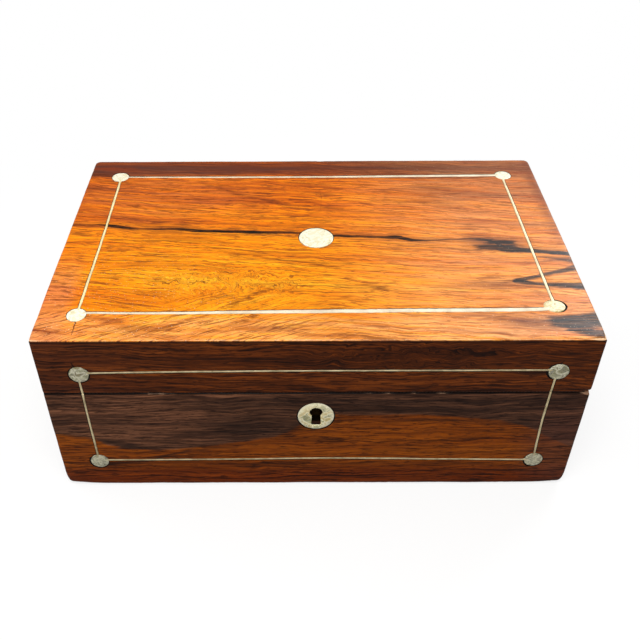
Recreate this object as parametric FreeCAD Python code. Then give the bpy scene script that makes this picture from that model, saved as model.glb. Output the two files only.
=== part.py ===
"""Antique glove box: a veneered case with a hinged lid, inlaid lines and discs, and a link-plate lock.

The case stands on z = 0, centred on x = 0 and y = 0. Its front faces -Y and its hinges are at the back.
All sizes are in millimetres. Each piece of the real box is one solid, written to parts/NAME.step.
"""

import FreeCAD
import Part

import math
import os

Vector = FreeCAD.Vector

# ---- Driving dimensions -------------------------------------------------------------------------

# The whole case
BOX_WIDTH = 254.0
BOX_DEPTH = 160.0
BASE_HEIGHT = 66.0
LID_HEIGHT = 32.7
SEAM_GAP = 0.3
FRONT_CORNER_R = 1.5
BACK_CORNER_R = 3.0
ARRIS_R = 0.5
CORNER_WEAR_ACROSS = 7.0
CORNER_WEAR_BACK = 6.0
CORNER_WEAR_UP = 5.0

# Sheets and boards
VENEER = 1.2
BOARD = 9.0
TOP_BOARD = 7.0
BOTTOM_BOARD = 6.0
RIM = 1.5
BAIZE = 0.8
BAIZE_INSET = 3.5
LINING = 1.5
FLOOR_PAD = 4.0
LID_PAD = 6.0
PAD_GAP = 0.3

# Dovetails at the corners of the boards
BASE_TAILS = 3
LID_TAILS = 1
TAIL_SHARE = 0.62
TAIL_SLOPE = 1.0 / 7.0

# Inlay: mother-of-pearl discs joined by pewter lines
INLAY = 0.8
INLAY_GAP = 0.1
DISC_R = 4.75
CENTRE_DISC_R = 8.9
TOP_LINE = 1.3
FRONT_LINE = 0.9
TOP_DISC_SIDE = 17.7
TOP_DISC_BACK = 18.0
TOP_DISC_FRONT = 18.3
TOP_DISC_SLIP = 5.2
TOP_LINE_SLIP = 2.6
FRONT_DISC_SIDE = 18.2
LID_DISC_ABOVE_SEAM = 12.4
BASE_DISC_HEIGHT = 18.7
FRONT_LINE_OFFSET = 0.9

# Keyhole, measured from the drill pin's axis
KEY_BELOW_RIM = 12.9
KEY_HEAD_R = 2.9
KEY_NECK = 3.8
KEY_FOOT = 4.2
KEY_DROP = 8.5
KEYHOLE_MARGIN = 0.4
ESCUTCHEON_R = 8.9
ESCUTCHEON_DROP = 2.4

# Lock
PLATE = 1.2
LOCK_EAR = 6.0
LOCK_HEIGHT = 27.0
CASE_DROP = 24.5
CASE_DEPTH = 5.6
CAP_WALL = 0.7
BED_FIT = 0.2
GUIDE_FIT = 0.2
SELVEDGE_WIDTH = 8.0
BOLT_THROW = 5.0
BOLT_THICK = 1.8
BOLT_SETBACK = 2.6
BOLT_TOP = 2.4
BOLT_HEIGHT = 6.8
BOLT_BAR = 1.8
BOLT_HORN = 3.5
BOLT_TIP = 2.0
BOLT_END_ROOM = 1.0
FINGER = 1.6
TALON_WIDTH = 6.0
TALON_HEIGHT = 4.6
SPRING_SPAN = 11.0
SPRING_RISE = 0.65
SPRING_THICK = 0.35
SPRING_WIDTH = 1.4
GUIDE_LENGTH = 5.0
GUIDE_START = 8.5
GUIDE_HEIGHT = 1.6
GUIDE_LIP = 1.8
GUIDE_WALL = 0.8
PIN_R = 1.3
RIVET_FIT = 0.02
WARD_R = 5.2
WARD_WALL = 0.6
WARD_RISE = 1.2
WARD_GATE = 3.2

# Staples on the lid's link plate
STAPLE_SPACING = 22.0
STAPLE_THICK = 3.0
STAPLE_WIDTH = 3.8
STAPLE_DROP = 7.0
STAPLE_ROUND = 1.0
EYE_WIDTH = 2.4
EYE_HEIGHT = 2.6
EYE_SILL = 1.2
STAPLE_SLOT_FIT = 0.6
TENON_THICK = 2.0
TENON_WIDTH = 2.4
MOVING_FIT = 0.3

# Hinges
HINGE_FROM_END = 52.0
HINGE_LENGTH = 34.0
HINGE_INSET = 2.6
LEAF_WIDTH = 8.6
LEAF_THICK = 1.5
KNUCKLE_R = 2.5
KNUCKLES = 5
KNUCKLE_GAP = 0.2
KNUCKLE_CLEARANCE = 0.3
HINGE_PIN_R = 1.0
HINGE_PIN_FIT = 0.05
LID_OPENS_DEG = 98.0
BEVEL_SPARE_DEG = 2.0

# Brass wood screws
SCREW_HEAD_R = 2.0
SCREW_HEAD_HEIGHT = 1.1
SCREW_R = 1.1
SCREW_LENGTH = 8.0
LOCK_SCREW_LENGTH = 6.0
SCREW_SLOT = 0.5
SCREW_FIT = 0.05
HINGE_SCREW_PITCH = 11.0
HINGE_SCREW_SETBACK = 5.2
LOCK_SCREW_FOOT = 5.0

# ---- Worked-out places --------------------------------------------------------------------------

HALF_W = BOX_WIDTH / 2
HALF_D = BOX_DEPTH / 2
LID_BOTTOM = BASE_HEIGHT + SEAM_GAP
BOX_HEIGHT = LID_BOTTOM + LID_HEIGHT
CARCASS_X = HALF_W - VENEER
CARCASS_Y = HALF_D - VENEER
INSIDE_X = CARCASS_X - BOARD
INSIDE_Y = CARCASS_Y - BOARD
FLOOR = BAIZE + BOTTOM_BOARD
BASE_BOARD_TOP = BASE_HEIGHT - RIM
LID_BOARD_FOOT = LID_BOTTOM + RIM
LID_BOARD_TOP = BOX_HEIGHT - VENEER - TOP_BOARD
RIM_WIDTH = BOARD + LINING

HINGE_Y = HALF_D - HINGE_INSET
HINGE_Z = BASE_HEIGHT + SEAM_GAP / 2
HINGE_XS = (HINGE_FROM_END - HALF_W, HALF_W - HINGE_FROM_END)

KEY_Z = BASE_HEIGHT - KEY_BELOW_RIM
PLATE_FACE_Y = -INSIDE_Y
LOCK_BACK_Y = PLATE_FACE_Y - PLATE
CAP_FACE_Y = LOCK_BACK_Y - CASE_DEPTH
CASE_FOOT = BASE_HEIGHT - CASE_DROP
SELVEDGE_FOOT = BASE_HEIGHT - PLATE
SELVEDGE_FRONT_Y = PLATE_FACE_Y - SELVEDGE_WIDTH
BOLT_Y = LOCK_BACK_Y - BOLT_SETBACK
BOLT_TOP_Z = BASE_HEIGHT - BOLT_TOP
BOLT_FOOT_Z = BOLT_TOP_Z - BOLT_HEIGHT
STAPLE_XS = (-STAPLE_SPACING / 2, STAPLE_SPACING / 2)
BOLT_REACH = STAPLE_SPACING / 2 + STAPLE_THICK / 2 + MOVING_FIT + BOLT_THROW + BOLT_HORN
CASE_HALF_WIDTH = BOLT_REACH + BOLT_END_ROOM + CAP_WALL
LOCK_HALF_WIDTH = CASE_HALF_WIDTH + LOCK_EAR
STAPLE_TIP_Z = LID_BOTTOM - STAPLE_DROP
EYE_Z = STAPLE_TIP_Z + EYE_SILL

BEYOND = 1.0  # how far a cutter runs past the face that it opens


# ---- Plain solids -------------------------------------------------------------------------------

def block(x0, x1, y0, y1, z0, z1):
    """A box between two corners."""
    return Part.makeBox(x1 - x0, y1 - y0, z1 - z0, Vector(x0, y0, z0))


def rod(radius, start, end):
    """A round bar from one point to another."""
    return Part.makeCylinder(radius, (end - start).Length, start, end - start)


def prism(points, travel):
    """A polygon swept along a vector."""
    wire = Part.makePolygon(points + points[:1])
    return Part.Face(wire).extrude(travel)


def without(shape, *cutters):
    """The shape with every cutter taken out of it."""
    for cutter in cutters:
        shape = shape.cut(cutter)
    return shape


def save(name, *solids):
    """Writes one node: one piece, or a group of like pieces."""
    shape = solids[0] if len(solids) == 1 else Part.makeCompound(list(solids))
    shape.exportStep("parts/" + name + ".step")


# ---- Inlaid faces -------------------------------------------------------------------------------

class Face:
    """A flat outer face, with u across, v up or back, and depth measured into the case."""

    def __init__(self, origin, across, along, inward):
        self.origin, self.across, self.along, self.inward = origin, across, along, inward

    def at(self, u, v, depth):
        """The point at (u, v) on the face, sunk by depth."""
        return self.origin + self.across * u + self.along * v + self.inward * depth


TOP = Face(Vector(0, -HALF_D, BOX_HEIGHT), Vector(1, 0, 0), Vector(0, 1, 0), Vector(0, 0, -1))
FRONT = Face(Vector(0, -HALF_D, 0), Vector(1, 0, 0), Vector(0, 0, 1), Vector(0, 1, 0))


def disc(face, centre, radius, rise=0.0, depth=INLAY):
    """A round plug let into a face, or its pocket where rise takes it above the face."""
    return rod(radius, face.at(*centre, -rise), face.at(*centre, depth))


def ribbon(face, start, end, width, rise=0.0):
    """A straight strip let into a face from one (u, v) to another."""
    run_u, run_v = end[0] - start[0], end[1] - start[1]
    length = math.hypot(run_u, run_v)
    side_u, side_v = -run_v / length * width / 2, run_u / length * width / 2
    corners = [
        (start[0] + side_u, start[1] + side_v),
        (start[0] - side_u, start[1] - side_v),
        (end[0] - side_u, end[1] - side_v),
        (end[0] + side_u, end[1] + side_v),
    ]
    points = [face.at(u, v, -rise) for u, v in corners]
    return prism(points, face.inward * (INLAY + rise))


def corner_discs_on_top():
    """Centres of the lid's corner discs; the front right one was laid further in than its fellows."""
    side = HALF_W - TOP_DISC_SIDE
    return {
        "back_left": (-side, BOX_DEPTH - TOP_DISC_BACK),
        "back_right": (side, BOX_DEPTH - TOP_DISC_BACK),
        "front_left": (-side, TOP_DISC_FRONT),
        "front_right": (side, TOP_DISC_FRONT + TOP_DISC_SLIP),
    }


def lines_on_top():
    """Ends of the four lines on the lid; the front one drifts back towards the right."""
    discs = corner_discs_on_top()
    drifted = (discs["front_right"][0], TOP_DISC_FRONT + TOP_LINE_SLIP)
    return {
        "back": (discs["back_left"], discs["back_right"]),
        "front": (discs["front_left"], drifted),
        "left": (discs["front_left"], discs["back_left"]),
        "right": (discs["front_right"], discs["back_right"]),
    }


FRONT_DISC_X = HALF_W - FRONT_DISC_SIDE
LID_DISC_Z = LID_BOTTOM + LID_DISC_ABOVE_SEAM


def pockets(face, discs, lines, line_width):
    """Cutters for discs, given as (centre, radius), and for lines, given as (start, end)."""
    cutters = [disc(face, centre, radius + INLAY_GAP, BEYOND) for centre, radius in discs]
    cutters += [ribbon(face, a, b, line_width + 2 * INLAY_GAP, BEYOND) for a, b in lines]
    return cutters


def inlaid_line(face, start, end, width, discs):
    """A line that stops short of every disc."""
    deep = INLAY + BEYOND
    holes = [disc(face, centre, radius + INLAY_GAP, BEYOND, deep) for centre, radius in discs]
    return without(ribbon(face, start, end, width), *holes)


# ---- Cutters shared by several pieces -----------------------------------------------------------

def case_envelope():
    """The closed case as one block, with the outer edges rounded that veneer is trimmed to."""
    case = block(-HALF_W, HALF_W, -HALF_D, HALF_D, BAIZE, BOX_HEIGHT)
    for radius, side in ((FRONT_CORNER_R, -1), (BACK_CORNER_R, 1)):
        upright = [
            edge for edge in case.Edges
            if edge.BoundBox.ZLength > BOX_HEIGHT / 2 and edge.CenterOfMass.y * side > HALF_D / 2
            and edge.BoundBox.XLength < radius / 2 and abs(edge.CenterOfMass.x) > HALF_W - radius / 2
        ]
        case = case.makeFillet(radius, upright)
    rim = [edge for edge in case.Edges if edge.BoundBox.ZMin > BOX_HEIGHT - ARRIS_R / 2]
    case = case.makeFillet(ARRIS_R, rim)
    return without(case, worn_corner(-1), worn_corner(1))


def worn_corner(side):
    """Wedge outside the slanting plane that wear has left at a lower front corner."""
    corner = Vector(side * HALF_W, -HALF_D, BAIZE)
    ends = [
        corner + Vector(-side * CORNER_WEAR_ACROSS, 0, 0),
        corner + Vector(0, CORNER_WEAR_BACK, 0),
        corner + Vector(0, 0, CORNER_WEAR_UP),
    ]
    middle = (ends[0] + ends[1] + ends[2]) / 3
    points = [middle + (end - middle) * 2 for end in ends]
    return prism(points, (corner - middle) * 2)


def back_bevel(direction):
    """Wedge behind the hinge line that lets the lid fall back: -1 cuts the base and 1 the lid."""
    reach = HINGE_INSET + BEYOND
    slope = math.tan(math.radians((LID_OPENS_DEG + BEVEL_SPARE_DEG) / 2))
    points = [
        Vector(-HALF_W - BEYOND, HINGE_Y, HINGE_Z),
        Vector(-HALF_W - BEYOND, HINGE_Y + reach, HINGE_Z),
        Vector(-HALF_W - BEYOND, HINGE_Y + reach, HINGE_Z + direction * reach * slope),
    ]
    return prism(points, Vector(BOX_WIDTH + 2 * BEYOND, 0, 0))


def keyhole(margin, start, end):
    """Round head and flared foot of the keyhole, from y = start back to y = end."""
    head = rod(KEY_HEAD_R + margin, Vector(0, start, KEY_Z), Vector(0, end, KEY_Z))
    neck, foot, drop = KEY_NECK / 2 + margin, KEY_FOOT / 2 + margin, KEY_Z - KEY_DROP - margin
    points = [
        Vector(-neck, start, KEY_Z),
        Vector(neck, start, KEY_Z),
        Vector(foot, start, drop),
        Vector(-foot, start, drop),
    ]
    return head.fuse(prism(points, Vector(0, end - start, 0)))


def screw_body(head, direction, length, growth=0.0):
    """Countersunk head and shank, grown by the fit where it cuts a hole."""
    cone = Part.makeCone(SCREW_HEAD_R + growth, SCREW_R + growth, SCREW_HEAD_HEIGHT, head, direction)
    shank = Part.makeCylinder(SCREW_R + growth, length + growth, head, direction)
    return cone.fuse(shank)


def screw(head, direction, length):
    """A slotted brass wood screw with the face of its head at the given point."""
    slot = block(-SCREW_HEAD_R, SCREW_HEAD_R, -SCREW_SLOT / 2, SCREW_SLOT / 2, -SCREW_SLOT, SCREW_SLOT)
    slot.Placement = FreeCAD.Placement(head, FreeCAD.Rotation(Vector(0, 0, 1), direction))
    return screw_body(head, direction, length).cut(slot)


def hinge_screw_heads(z):
    """Head positions of the screws of both hinges, on the leaf face at height z."""
    y = HINGE_Y - HINGE_SCREW_SETBACK
    return [Vector(x + step * HINGE_SCREW_PITCH, y, z) for x in HINGE_XS for step in (-1, 0, 1)]


UP, DOWN, FORWARD = Vector(0, 0, 1), Vector(0, 0, -1), Vector(0, -1, 0)
LOCK_SCREW_X = CASE_HALF_WIDTH + LOCK_EAR / 2
LOCK_SCREWS = [
    (Vector(side * LOCK_SCREW_X, PLATE_FACE_Y, BASE_HEIGHT - LOCK_HEIGHT + LOCK_SCREW_FOOT), FORWARD)
    for side in (-1, 1)
] + [
    (Vector(side * LOCK_SCREW_X, PLATE_FACE_Y - SELVEDGE_WIDTH / 2, BASE_HEIGHT), DOWN)
    for side in (-1, 1)
]
LINK_SCREWS = [
    (Vector(side * LOCK_SCREW_X, PLATE_FACE_Y - SELVEDGE_WIDTH / 2, LID_BOTTOM), UP)
    for side in (-1, 1)
]


def screw_holes(screws, length):
    """Holes for screws given as (head, direction)."""
    return [screw_body(head, way, length, SCREW_FIT) for head, way in screws]


def hinge_beds(foot, top):
    """Room in the wood for both hinges: their leaves between two heights, and their knuckles."""
    cutters = []
    for x in HINGE_XS:
        x0, x1 = x - HINGE_LENGTH / 2 - BED_FIT, x + HINGE_LENGTH / 2 + BED_FIT
        cutters.append(block(x0, x1, HINGE_Y - LEAF_WIDTH - BED_FIT, HINGE_Y, foot, top))
        cutters.append(rod(KNUCKLE_R + KNUCKLE_CLEARANCE, Vector(x0, HINGE_Y, HINGE_Z),
                           Vector(x1, HINGE_Y, HINGE_Z)))
    return cutters


BASE_HINGE_CUTS = (
    hinge_beds(BASE_HEIGHT - LEAF_THICK, BASE_HEIGHT + BEYOND)
    + screw_holes([(head, DOWN) for head in hinge_screw_heads(BASE_HEIGHT)], SCREW_LENGTH)
    + [back_bevel(-1)]
)
LID_HINGE_CUTS = (
    hinge_beds(LID_BOTTOM - BEYOND, LID_BOTTOM + LEAF_THICK)
    + screw_holes([(head, UP) for head in hinge_screw_heads(LID_BOTTOM)], SCREW_LENGTH)
    + [back_bevel(1)]
)


def lock_cuts():
    """The mortise, plate bed, selvedge bed, keyhole and screw holes in the base's front."""
    half_plate = LOCK_HALF_WIDTH + BED_FIT
    half_case = CASE_HALF_WIDTH + BED_FIT
    top, inner = BASE_HEIGHT + BEYOND, PLATE_FACE_Y + LINING + BEYOND
    plate_foot = BASE_HEIGHT - LOCK_HEIGHT - BED_FIT
    return [
        block(-half_case, half_case, CAP_FACE_Y - BED_FIT, inner, CASE_FOOT - BED_FIT, top),
        block(-half_plate, half_plate, LOCK_BACK_Y, inner, plate_foot, top),
        block(-half_plate, half_plate, SELVEDGE_FRONT_Y - BED_FIT, inner, SELVEDGE_FOOT, top),
        keyhole(KEYHOLE_MARGIN, -HALF_D - BEYOND, CAP_FACE_Y),
    ] + screw_holes(LOCK_SCREWS, LOCK_SCREW_LENGTH)


LOCK_CUTS = lock_cuts()


def link_cuts():
    """The link plate's bed and screw holes in the lid's front rim and board."""
    half_plate = LOCK_HALF_WIDTH + BED_FIT
    inner = PLATE_FACE_Y + LINING + BEYOND
    bed = block(-half_plate, half_plate, SELVEDGE_FRONT_Y - BED_FIT, inner,
                LID_BOTTOM - BEYOND, LID_BOTTOM + PLATE)
    return [bed] + screw_holes(LINK_SCREWS, LOCK_SCREW_LENGTH)


LINK_CUTS = link_cuts()


# ---- Case ---------------------------------------------------------------------------------------

def tails(foot, top, count, side):
    """Dovetails on the end of a side board: side is -1 at the front of the case and 1 at the back."""
    pitch = (top - foot) / count
    wide = pitch * TAIL_SHARE / 2
    narrow = wide - BOARD * TAIL_SLOPE
    shoulder, end = side * INSIDE_Y, side * CARCASS_Y
    made = []
    for n in range(count):
        middle = foot + pitch * (n + 0.5)
        points = [
            Vector(INSIDE_X, shoulder, middle - narrow),
            Vector(INSIDE_X, end, middle - wide),
            Vector(INSIDE_X, end, middle + wide),
            Vector(INSIDE_X, shoulder, middle + narrow),
        ]
        made.append(prism(points, Vector(BOARD, 0, 0)))
    return made


def carcass_boards(foot, top, tail_count):
    """Front, back, left and right boards between two heights, dovetailed at the corners."""
    right_tails = tails(foot, top, tail_count, -1) + tails(foot, top, tail_count, 1)
    left_tails = [tail.mirror(Vector(0, 0, 0), Vector(1, 0, 0)) for tail in right_tails]
    front = block(-CARCASS_X, CARCASS_X, -CARCASS_Y, -INSIDE_Y, foot, top)
    back = block(-CARCASS_X, CARCASS_X, INSIDE_Y, CARCASS_Y, foot, top)
    left = block(-CARCASS_X, -INSIDE_X, -INSIDE_Y, INSIDE_Y, foot, top)
    right = block(INSIDE_X, CARCASS_X, -INSIDE_Y, INSIDE_Y, foot, top)
    front = without(front, *right_tails, *left_tails)
    back = without(back, *right_tails, *left_tails)
    left = left.multiFuse(left_tails).removeSplitter()
    right = right.multiFuse(right_tails).removeSplitter()
    return front, back, left, right


def rim_strips(foot, top):
    """Four mitred strips that face the edge of the boards: front, back, left, right."""
    turns = ((-1, -1), (1, -1), (1, 1), (-1, 1))
    outer = [(x * CARCASS_X, y * CARCASS_Y) for x, y in turns]
    inner = [(x * (CARCASS_X - RIM_WIDTH), y * (CARCASS_Y - RIM_WIDTH)) for x, y in turns]
    strips = []
    for n in range(4):
        m = (n + 1) % 4
        points = [Vector(x, y, foot) for x, y in (outer[n], outer[m], inner[m], inner[n])]
        strips.append(prism(points, Vector(0, 0, top - foot)))
    front, right, back, left = strips
    return front, back, left, right


def side_veneers(foot, top):
    """Front, back, left and right veneers between two heights, as plain sheets."""
    front = block(-HALF_W, HALF_W, -HALF_D, -CARCASS_Y, foot, top)
    back = block(-HALF_W, HALF_W, CARCASS_Y, HALF_D, foot, top)
    left = block(-HALF_W, -CARCASS_X, -CARCASS_Y, CARCASS_Y, foot, top)
    right = block(CARCASS_X, HALF_W, -CARCASS_Y, CARCASS_Y, foot, top)
    return front, back, left, right


def wall_linings(foot, top):
    """Four fabric-covered panels against the inside of the boards."""
    cloth_x, cloth_y = INSIDE_X - LINING, INSIDE_Y - LINING
    front = block(-INSIDE_X, INSIDE_X, -INSIDE_Y, -cloth_y, foot, top)
    back = block(-INSIDE_X, INSIDE_X, cloth_y, INSIDE_Y, foot, top)
    left = block(-INSIDE_X, -cloth_x, -cloth_y, cloth_y, foot, top)
    right = block(cloth_x, INSIDE_X, -cloth_y, cloth_y, foot, top)
    return front, back, left, right


def pad(foot, top):
    """A padded panel that fits loosely between the wall linings."""
    x, y = INSIDE_X - LINING - PAD_GAP, INSIDE_Y - LINING - PAD_GAP
    return block(-x, x, -y, y, foot, top)


def base_front_inlay():
    """Discs and lines that the base's front veneer is pocketed for."""
    discs = [((side * FRONT_DISC_X, BASE_DISC_HEIGHT), DISC_R) for side in (-1, 1)]
    line_z = BASE_DISC_HEIGHT + FRONT_LINE_OFFSET
    bottom = ((-FRONT_DISC_X, line_z), (FRONT_DISC_X, line_z))
    sides = [((x, BASE_DISC_HEIGHT), (x, BASE_HEIGHT)) for x in (-FRONT_DISC_X, FRONT_DISC_X)]
    return discs, bottom, sides


def lid_front_inlay():
    """Discs and lines that the lid's front veneer is pocketed for."""
    discs = [((side * FRONT_DISC_X, LID_DISC_Z), DISC_R) for side in (-1, 1)]
    line_z = LID_DISC_Z + FRONT_LINE_OFFSET
    top = ((-FRONT_DISC_X, line_z), (FRONT_DISC_X, line_z))
    sides = [((x, LID_BOTTOM), (x, LID_DISC_Z)) for x in (-FRONT_DISC_X, FRONT_DISC_X)]
    return discs, top, sides


def make_base():
    """Boards, veneers, rim, linings and inlay of the base."""
    envelope = case_envelope()
    bottom_board = block(-CARCASS_X, CARCASS_X, -CARCASS_Y, CARCASS_Y, BAIZE, FLOOR)
    save("base_bottom_board", bottom_board.common(envelope))
    front, back, left, right = carcass_boards(FLOOR, BASE_BOARD_TOP, BASE_TAILS)
    save("base_front_board", without(front, *LOCK_CUTS))
    save("base_back_board", without(back, *BASE_HINGE_CUTS))
    save("base_left_board", without(left, back_bevel(-1)))
    save("base_right_board", without(right, back_bevel(-1)))

    discs, bottom, sides = base_front_inlay()
    escutcheon = (0, KEY_Z - ESCUTCHEON_DROP)
    front, back, left, right = side_veneers(BAIZE, BASE_HEIGHT)
    cuts = pockets(FRONT, discs + [(escutcheon, ESCUTCHEON_R)], [bottom] + sides, FRONT_LINE)
    cuts.append(keyhole(KEYHOLE_MARGIN, -HALF_D - BEYOND, CAP_FACE_Y))
    save("base_front_veneer", without(front.common(envelope), *cuts))
    save("base_back_veneer", without(back.common(envelope), *BASE_HINGE_CUTS))
    save("base_left_veneer", without(left.common(envelope), back_bevel(-1)))
    save("base_right_veneer", without(right.common(envelope), back_bevel(-1)))

    front, back, left, right = rim_strips(BASE_BOARD_TOP, BASE_HEIGHT)
    save("base_rim", without(front, *LOCK_CUTS), without(back, *BASE_HINGE_CUTS),
         without(left, back_bevel(-1)), without(right, back_bevel(-1)))

    front, back, left, right = wall_linings(FLOOR, BASE_BOARD_TOP)
    half_window = LOCK_HALF_WIDTH + 2 * BED_FIT
    window = block(-half_window, half_window, PLATE_FACE_Y - BEYOND, PLATE_FACE_Y + LINING + BEYOND,
                   BASE_HEIGHT - LOCK_HEIGHT - 2 * BED_FIT, BASE_HEIGHT)
    save("base_wall_lining", front.cut(window), back, left, right)
    save("base_floor_pad", pad(FLOOR, FLOOR + FLOOR_PAD))
    baize_x, baize_y = HALF_W - BAIZE_INSET, HALF_D - BAIZE_INSET
    save("base_baize", block(-baize_x, baize_x, -baize_y, baize_y, 0, BAIZE))

    plate = disc(FRONT, escutcheon, ESCUTCHEON_R)
    save("escutcheon", plate.cut(keyhole(0, -HALF_D - BEYOND, CAP_FACE_Y)))
    save("base_front_discs", *[disc(FRONT, centre, radius) for centre, radius in discs])
    save("base_line_bottom", inlaid_line(FRONT, *bottom, FRONT_LINE, discs))
    save("base_line_left", inlaid_line(FRONT, *sides[0], FRONT_LINE, discs))
    save("base_line_right", inlaid_line(FRONT, *sides[1], FRONT_LINE, discs))


def make_lid():
    """Boards, veneers, rim, linings and inlay of the lid."""
    envelope = case_envelope()
    board_head = BOX_HEIGHT - VENEER
    save("lid_top_board", block(-CARCASS_X, CARCASS_X, -CARCASS_Y, CARCASS_Y, LID_BOARD_TOP, board_head))
    front, back, left, right = carcass_boards(LID_BOARD_FOOT, LID_BOARD_TOP, LID_TAILS)
    save("lid_front_board", without(front, *LINK_CUTS))
    save("lid_back_board", without(back, *LID_HINGE_CUTS))
    save("lid_left_board", without(left, back_bevel(1)))
    save("lid_right_board", without(right, back_bevel(1)))

    corner_discs = [(centre, DISC_R) for centre in corner_discs_on_top().values()]
    centre_disc = ((0, HALF_D), CENTRE_DISC_R)
    lines = lines_on_top()
    cuts = pockets(TOP, corner_discs + [centre_disc], list(lines.values()), TOP_LINE)
    top = block(-HALF_W, HALF_W, -HALF_D, HALF_D, board_head, BOX_HEIGHT)
    save("lid_top_veneer", without(top.common(envelope), *cuts))
    discs, upper, sides = lid_front_inlay()
    front, back, left, right = side_veneers(LID_BOTTOM, board_head)
    cuts = pockets(FRONT, discs, [upper] + sides, FRONT_LINE)
    save("lid_front_veneer", without(front.common(envelope), *cuts))
    save("lid_back_veneer", without(back.common(envelope), *LID_HINGE_CUTS))
    save("lid_left_veneer", without(left.common(envelope), back_bevel(1)))
    save("lid_right_veneer", without(right.common(envelope), back_bevel(1)))

    front, back, left, right = rim_strips(LID_BOTTOM, LID_BOARD_FOOT)
    save("lid_rim", without(front, *LINK_CUTS), without(back, *LID_HINGE_CUTS),
         without(left, back_bevel(1)), without(right, back_bevel(1)))
    save("lid_wall_lining", *wall_linings(LID_BOARD_FOOT, LID_BOARD_TOP))
    save("lid_pad", pad(LID_BOARD_TOP - LID_PAD, LID_BOARD_TOP))

    save("lid_centre_disc", disc(TOP, *centre_disc))
    save("lid_corner_discs", *[disc(TOP, centre, radius) for centre, radius in corner_discs])
    for name, (start, end) in lines.items():
        save("lid_top_line_" + name, inlaid_line(TOP, start, end, TOP_LINE, corner_discs))
    save("lid_front_discs", *[disc(FRONT, centre, radius) for centre, radius in discs])
    save("lid_front_line_top", inlaid_line(FRONT, *upper, FRONT_LINE, discs))
    save("lid_front_line_left", inlaid_line(FRONT, *sides[0], FRONT_LINE, discs))
    save("lid_front_line_right", inlaid_line(FRONT, *sides[1], FRONT_LINE, discs))


# ---- Hinges -------------------------------------------------------------------------------------

def hinge_leaf(x, own, leaf_foot, leaf_top, screws):
    """One leaf of the butt hinge centred on x. Its own knuckles are those numbered own, own + 2, ..."""
    start = x - HINGE_LENGTH / 2
    length = HINGE_LENGTH / KNUCKLES
    leaf = block(start, start + HINGE_LENGTH, HINGE_Y - LEAF_WIDTH, HINGE_Y, leaf_foot, leaf_top)
    for n in range(KNUCKLES):
        x0, x1 = start + n * length, start + (n + 1) * length
        if n % 2 == own:
            ends = (x0 + KNUCKLE_GAP / 2, x1 - KNUCKLE_GAP / 2)
            leaf = leaf.fuse(rod(KNUCKLE_R, *(Vector(end, HINGE_Y, HINGE_Z) for end in ends)))
        else:
            ends = (x0 - KNUCKLE_GAP / 2, x1 + KNUCKLE_GAP / 2)
            room = rod(KNUCKLE_R + KNUCKLE_GAP, *(Vector(end, HINGE_Y, HINGE_Z) for end in ends))
            leaf = leaf.cut(room)
    bore = rod(HINGE_PIN_R + HINGE_PIN_FIT, Vector(start - BEYOND, HINGE_Y, HINGE_Z),
               Vector(start + HINGE_LENGTH + BEYOND, HINGE_Y, HINGE_Z))
    return without(leaf, bore, *screws)


def make_hinges():
    """Both butt hinges: a leaf on the base, a leaf on the lid, a pin, and three screws to a leaf."""
    base_heads, lid_heads = hinge_screw_heads(BASE_HEIGHT), hinge_screw_heads(LID_BOTTOM)
    base_holes = screw_holes([(head, DOWN) for head in base_heads], SCREW_LENGTH)
    lid_holes = screw_holes([(head, UP) for head in lid_heads], SCREW_LENGTH)
    for side, x in zip(("left", "right"), HINGE_XS):
        base_leaf = hinge_leaf(x, 0, BASE_HEIGHT - LEAF_THICK, BASE_HEIGHT, base_holes)
        lid_leaf = hinge_leaf(x, 1, LID_BOTTOM, LID_BOTTOM + LEAF_THICK, lid_holes)
        pin = rod(HINGE_PIN_R, Vector(x - HINGE_LENGTH / 2, HINGE_Y, HINGE_Z),
                  Vector(x + HINGE_LENGTH / 2, HINGE_Y, HINGE_Z))
        save("hinge_" + side + "_base_leaf", base_leaf)
        save("hinge_" + side + "_lid_leaf", lid_leaf)
        save("hinge_" + side + "_pin", pin)
    save("hinge_base_screws", *[screw(head, DOWN, SCREW_LENGTH) for head in base_heads])
    save("hinge_lid_screws", *[screw(head, UP, SCREW_LENGTH) for head in lid_heads])


# ---- Lock ---------------------------------------------------------------------------------------

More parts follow.
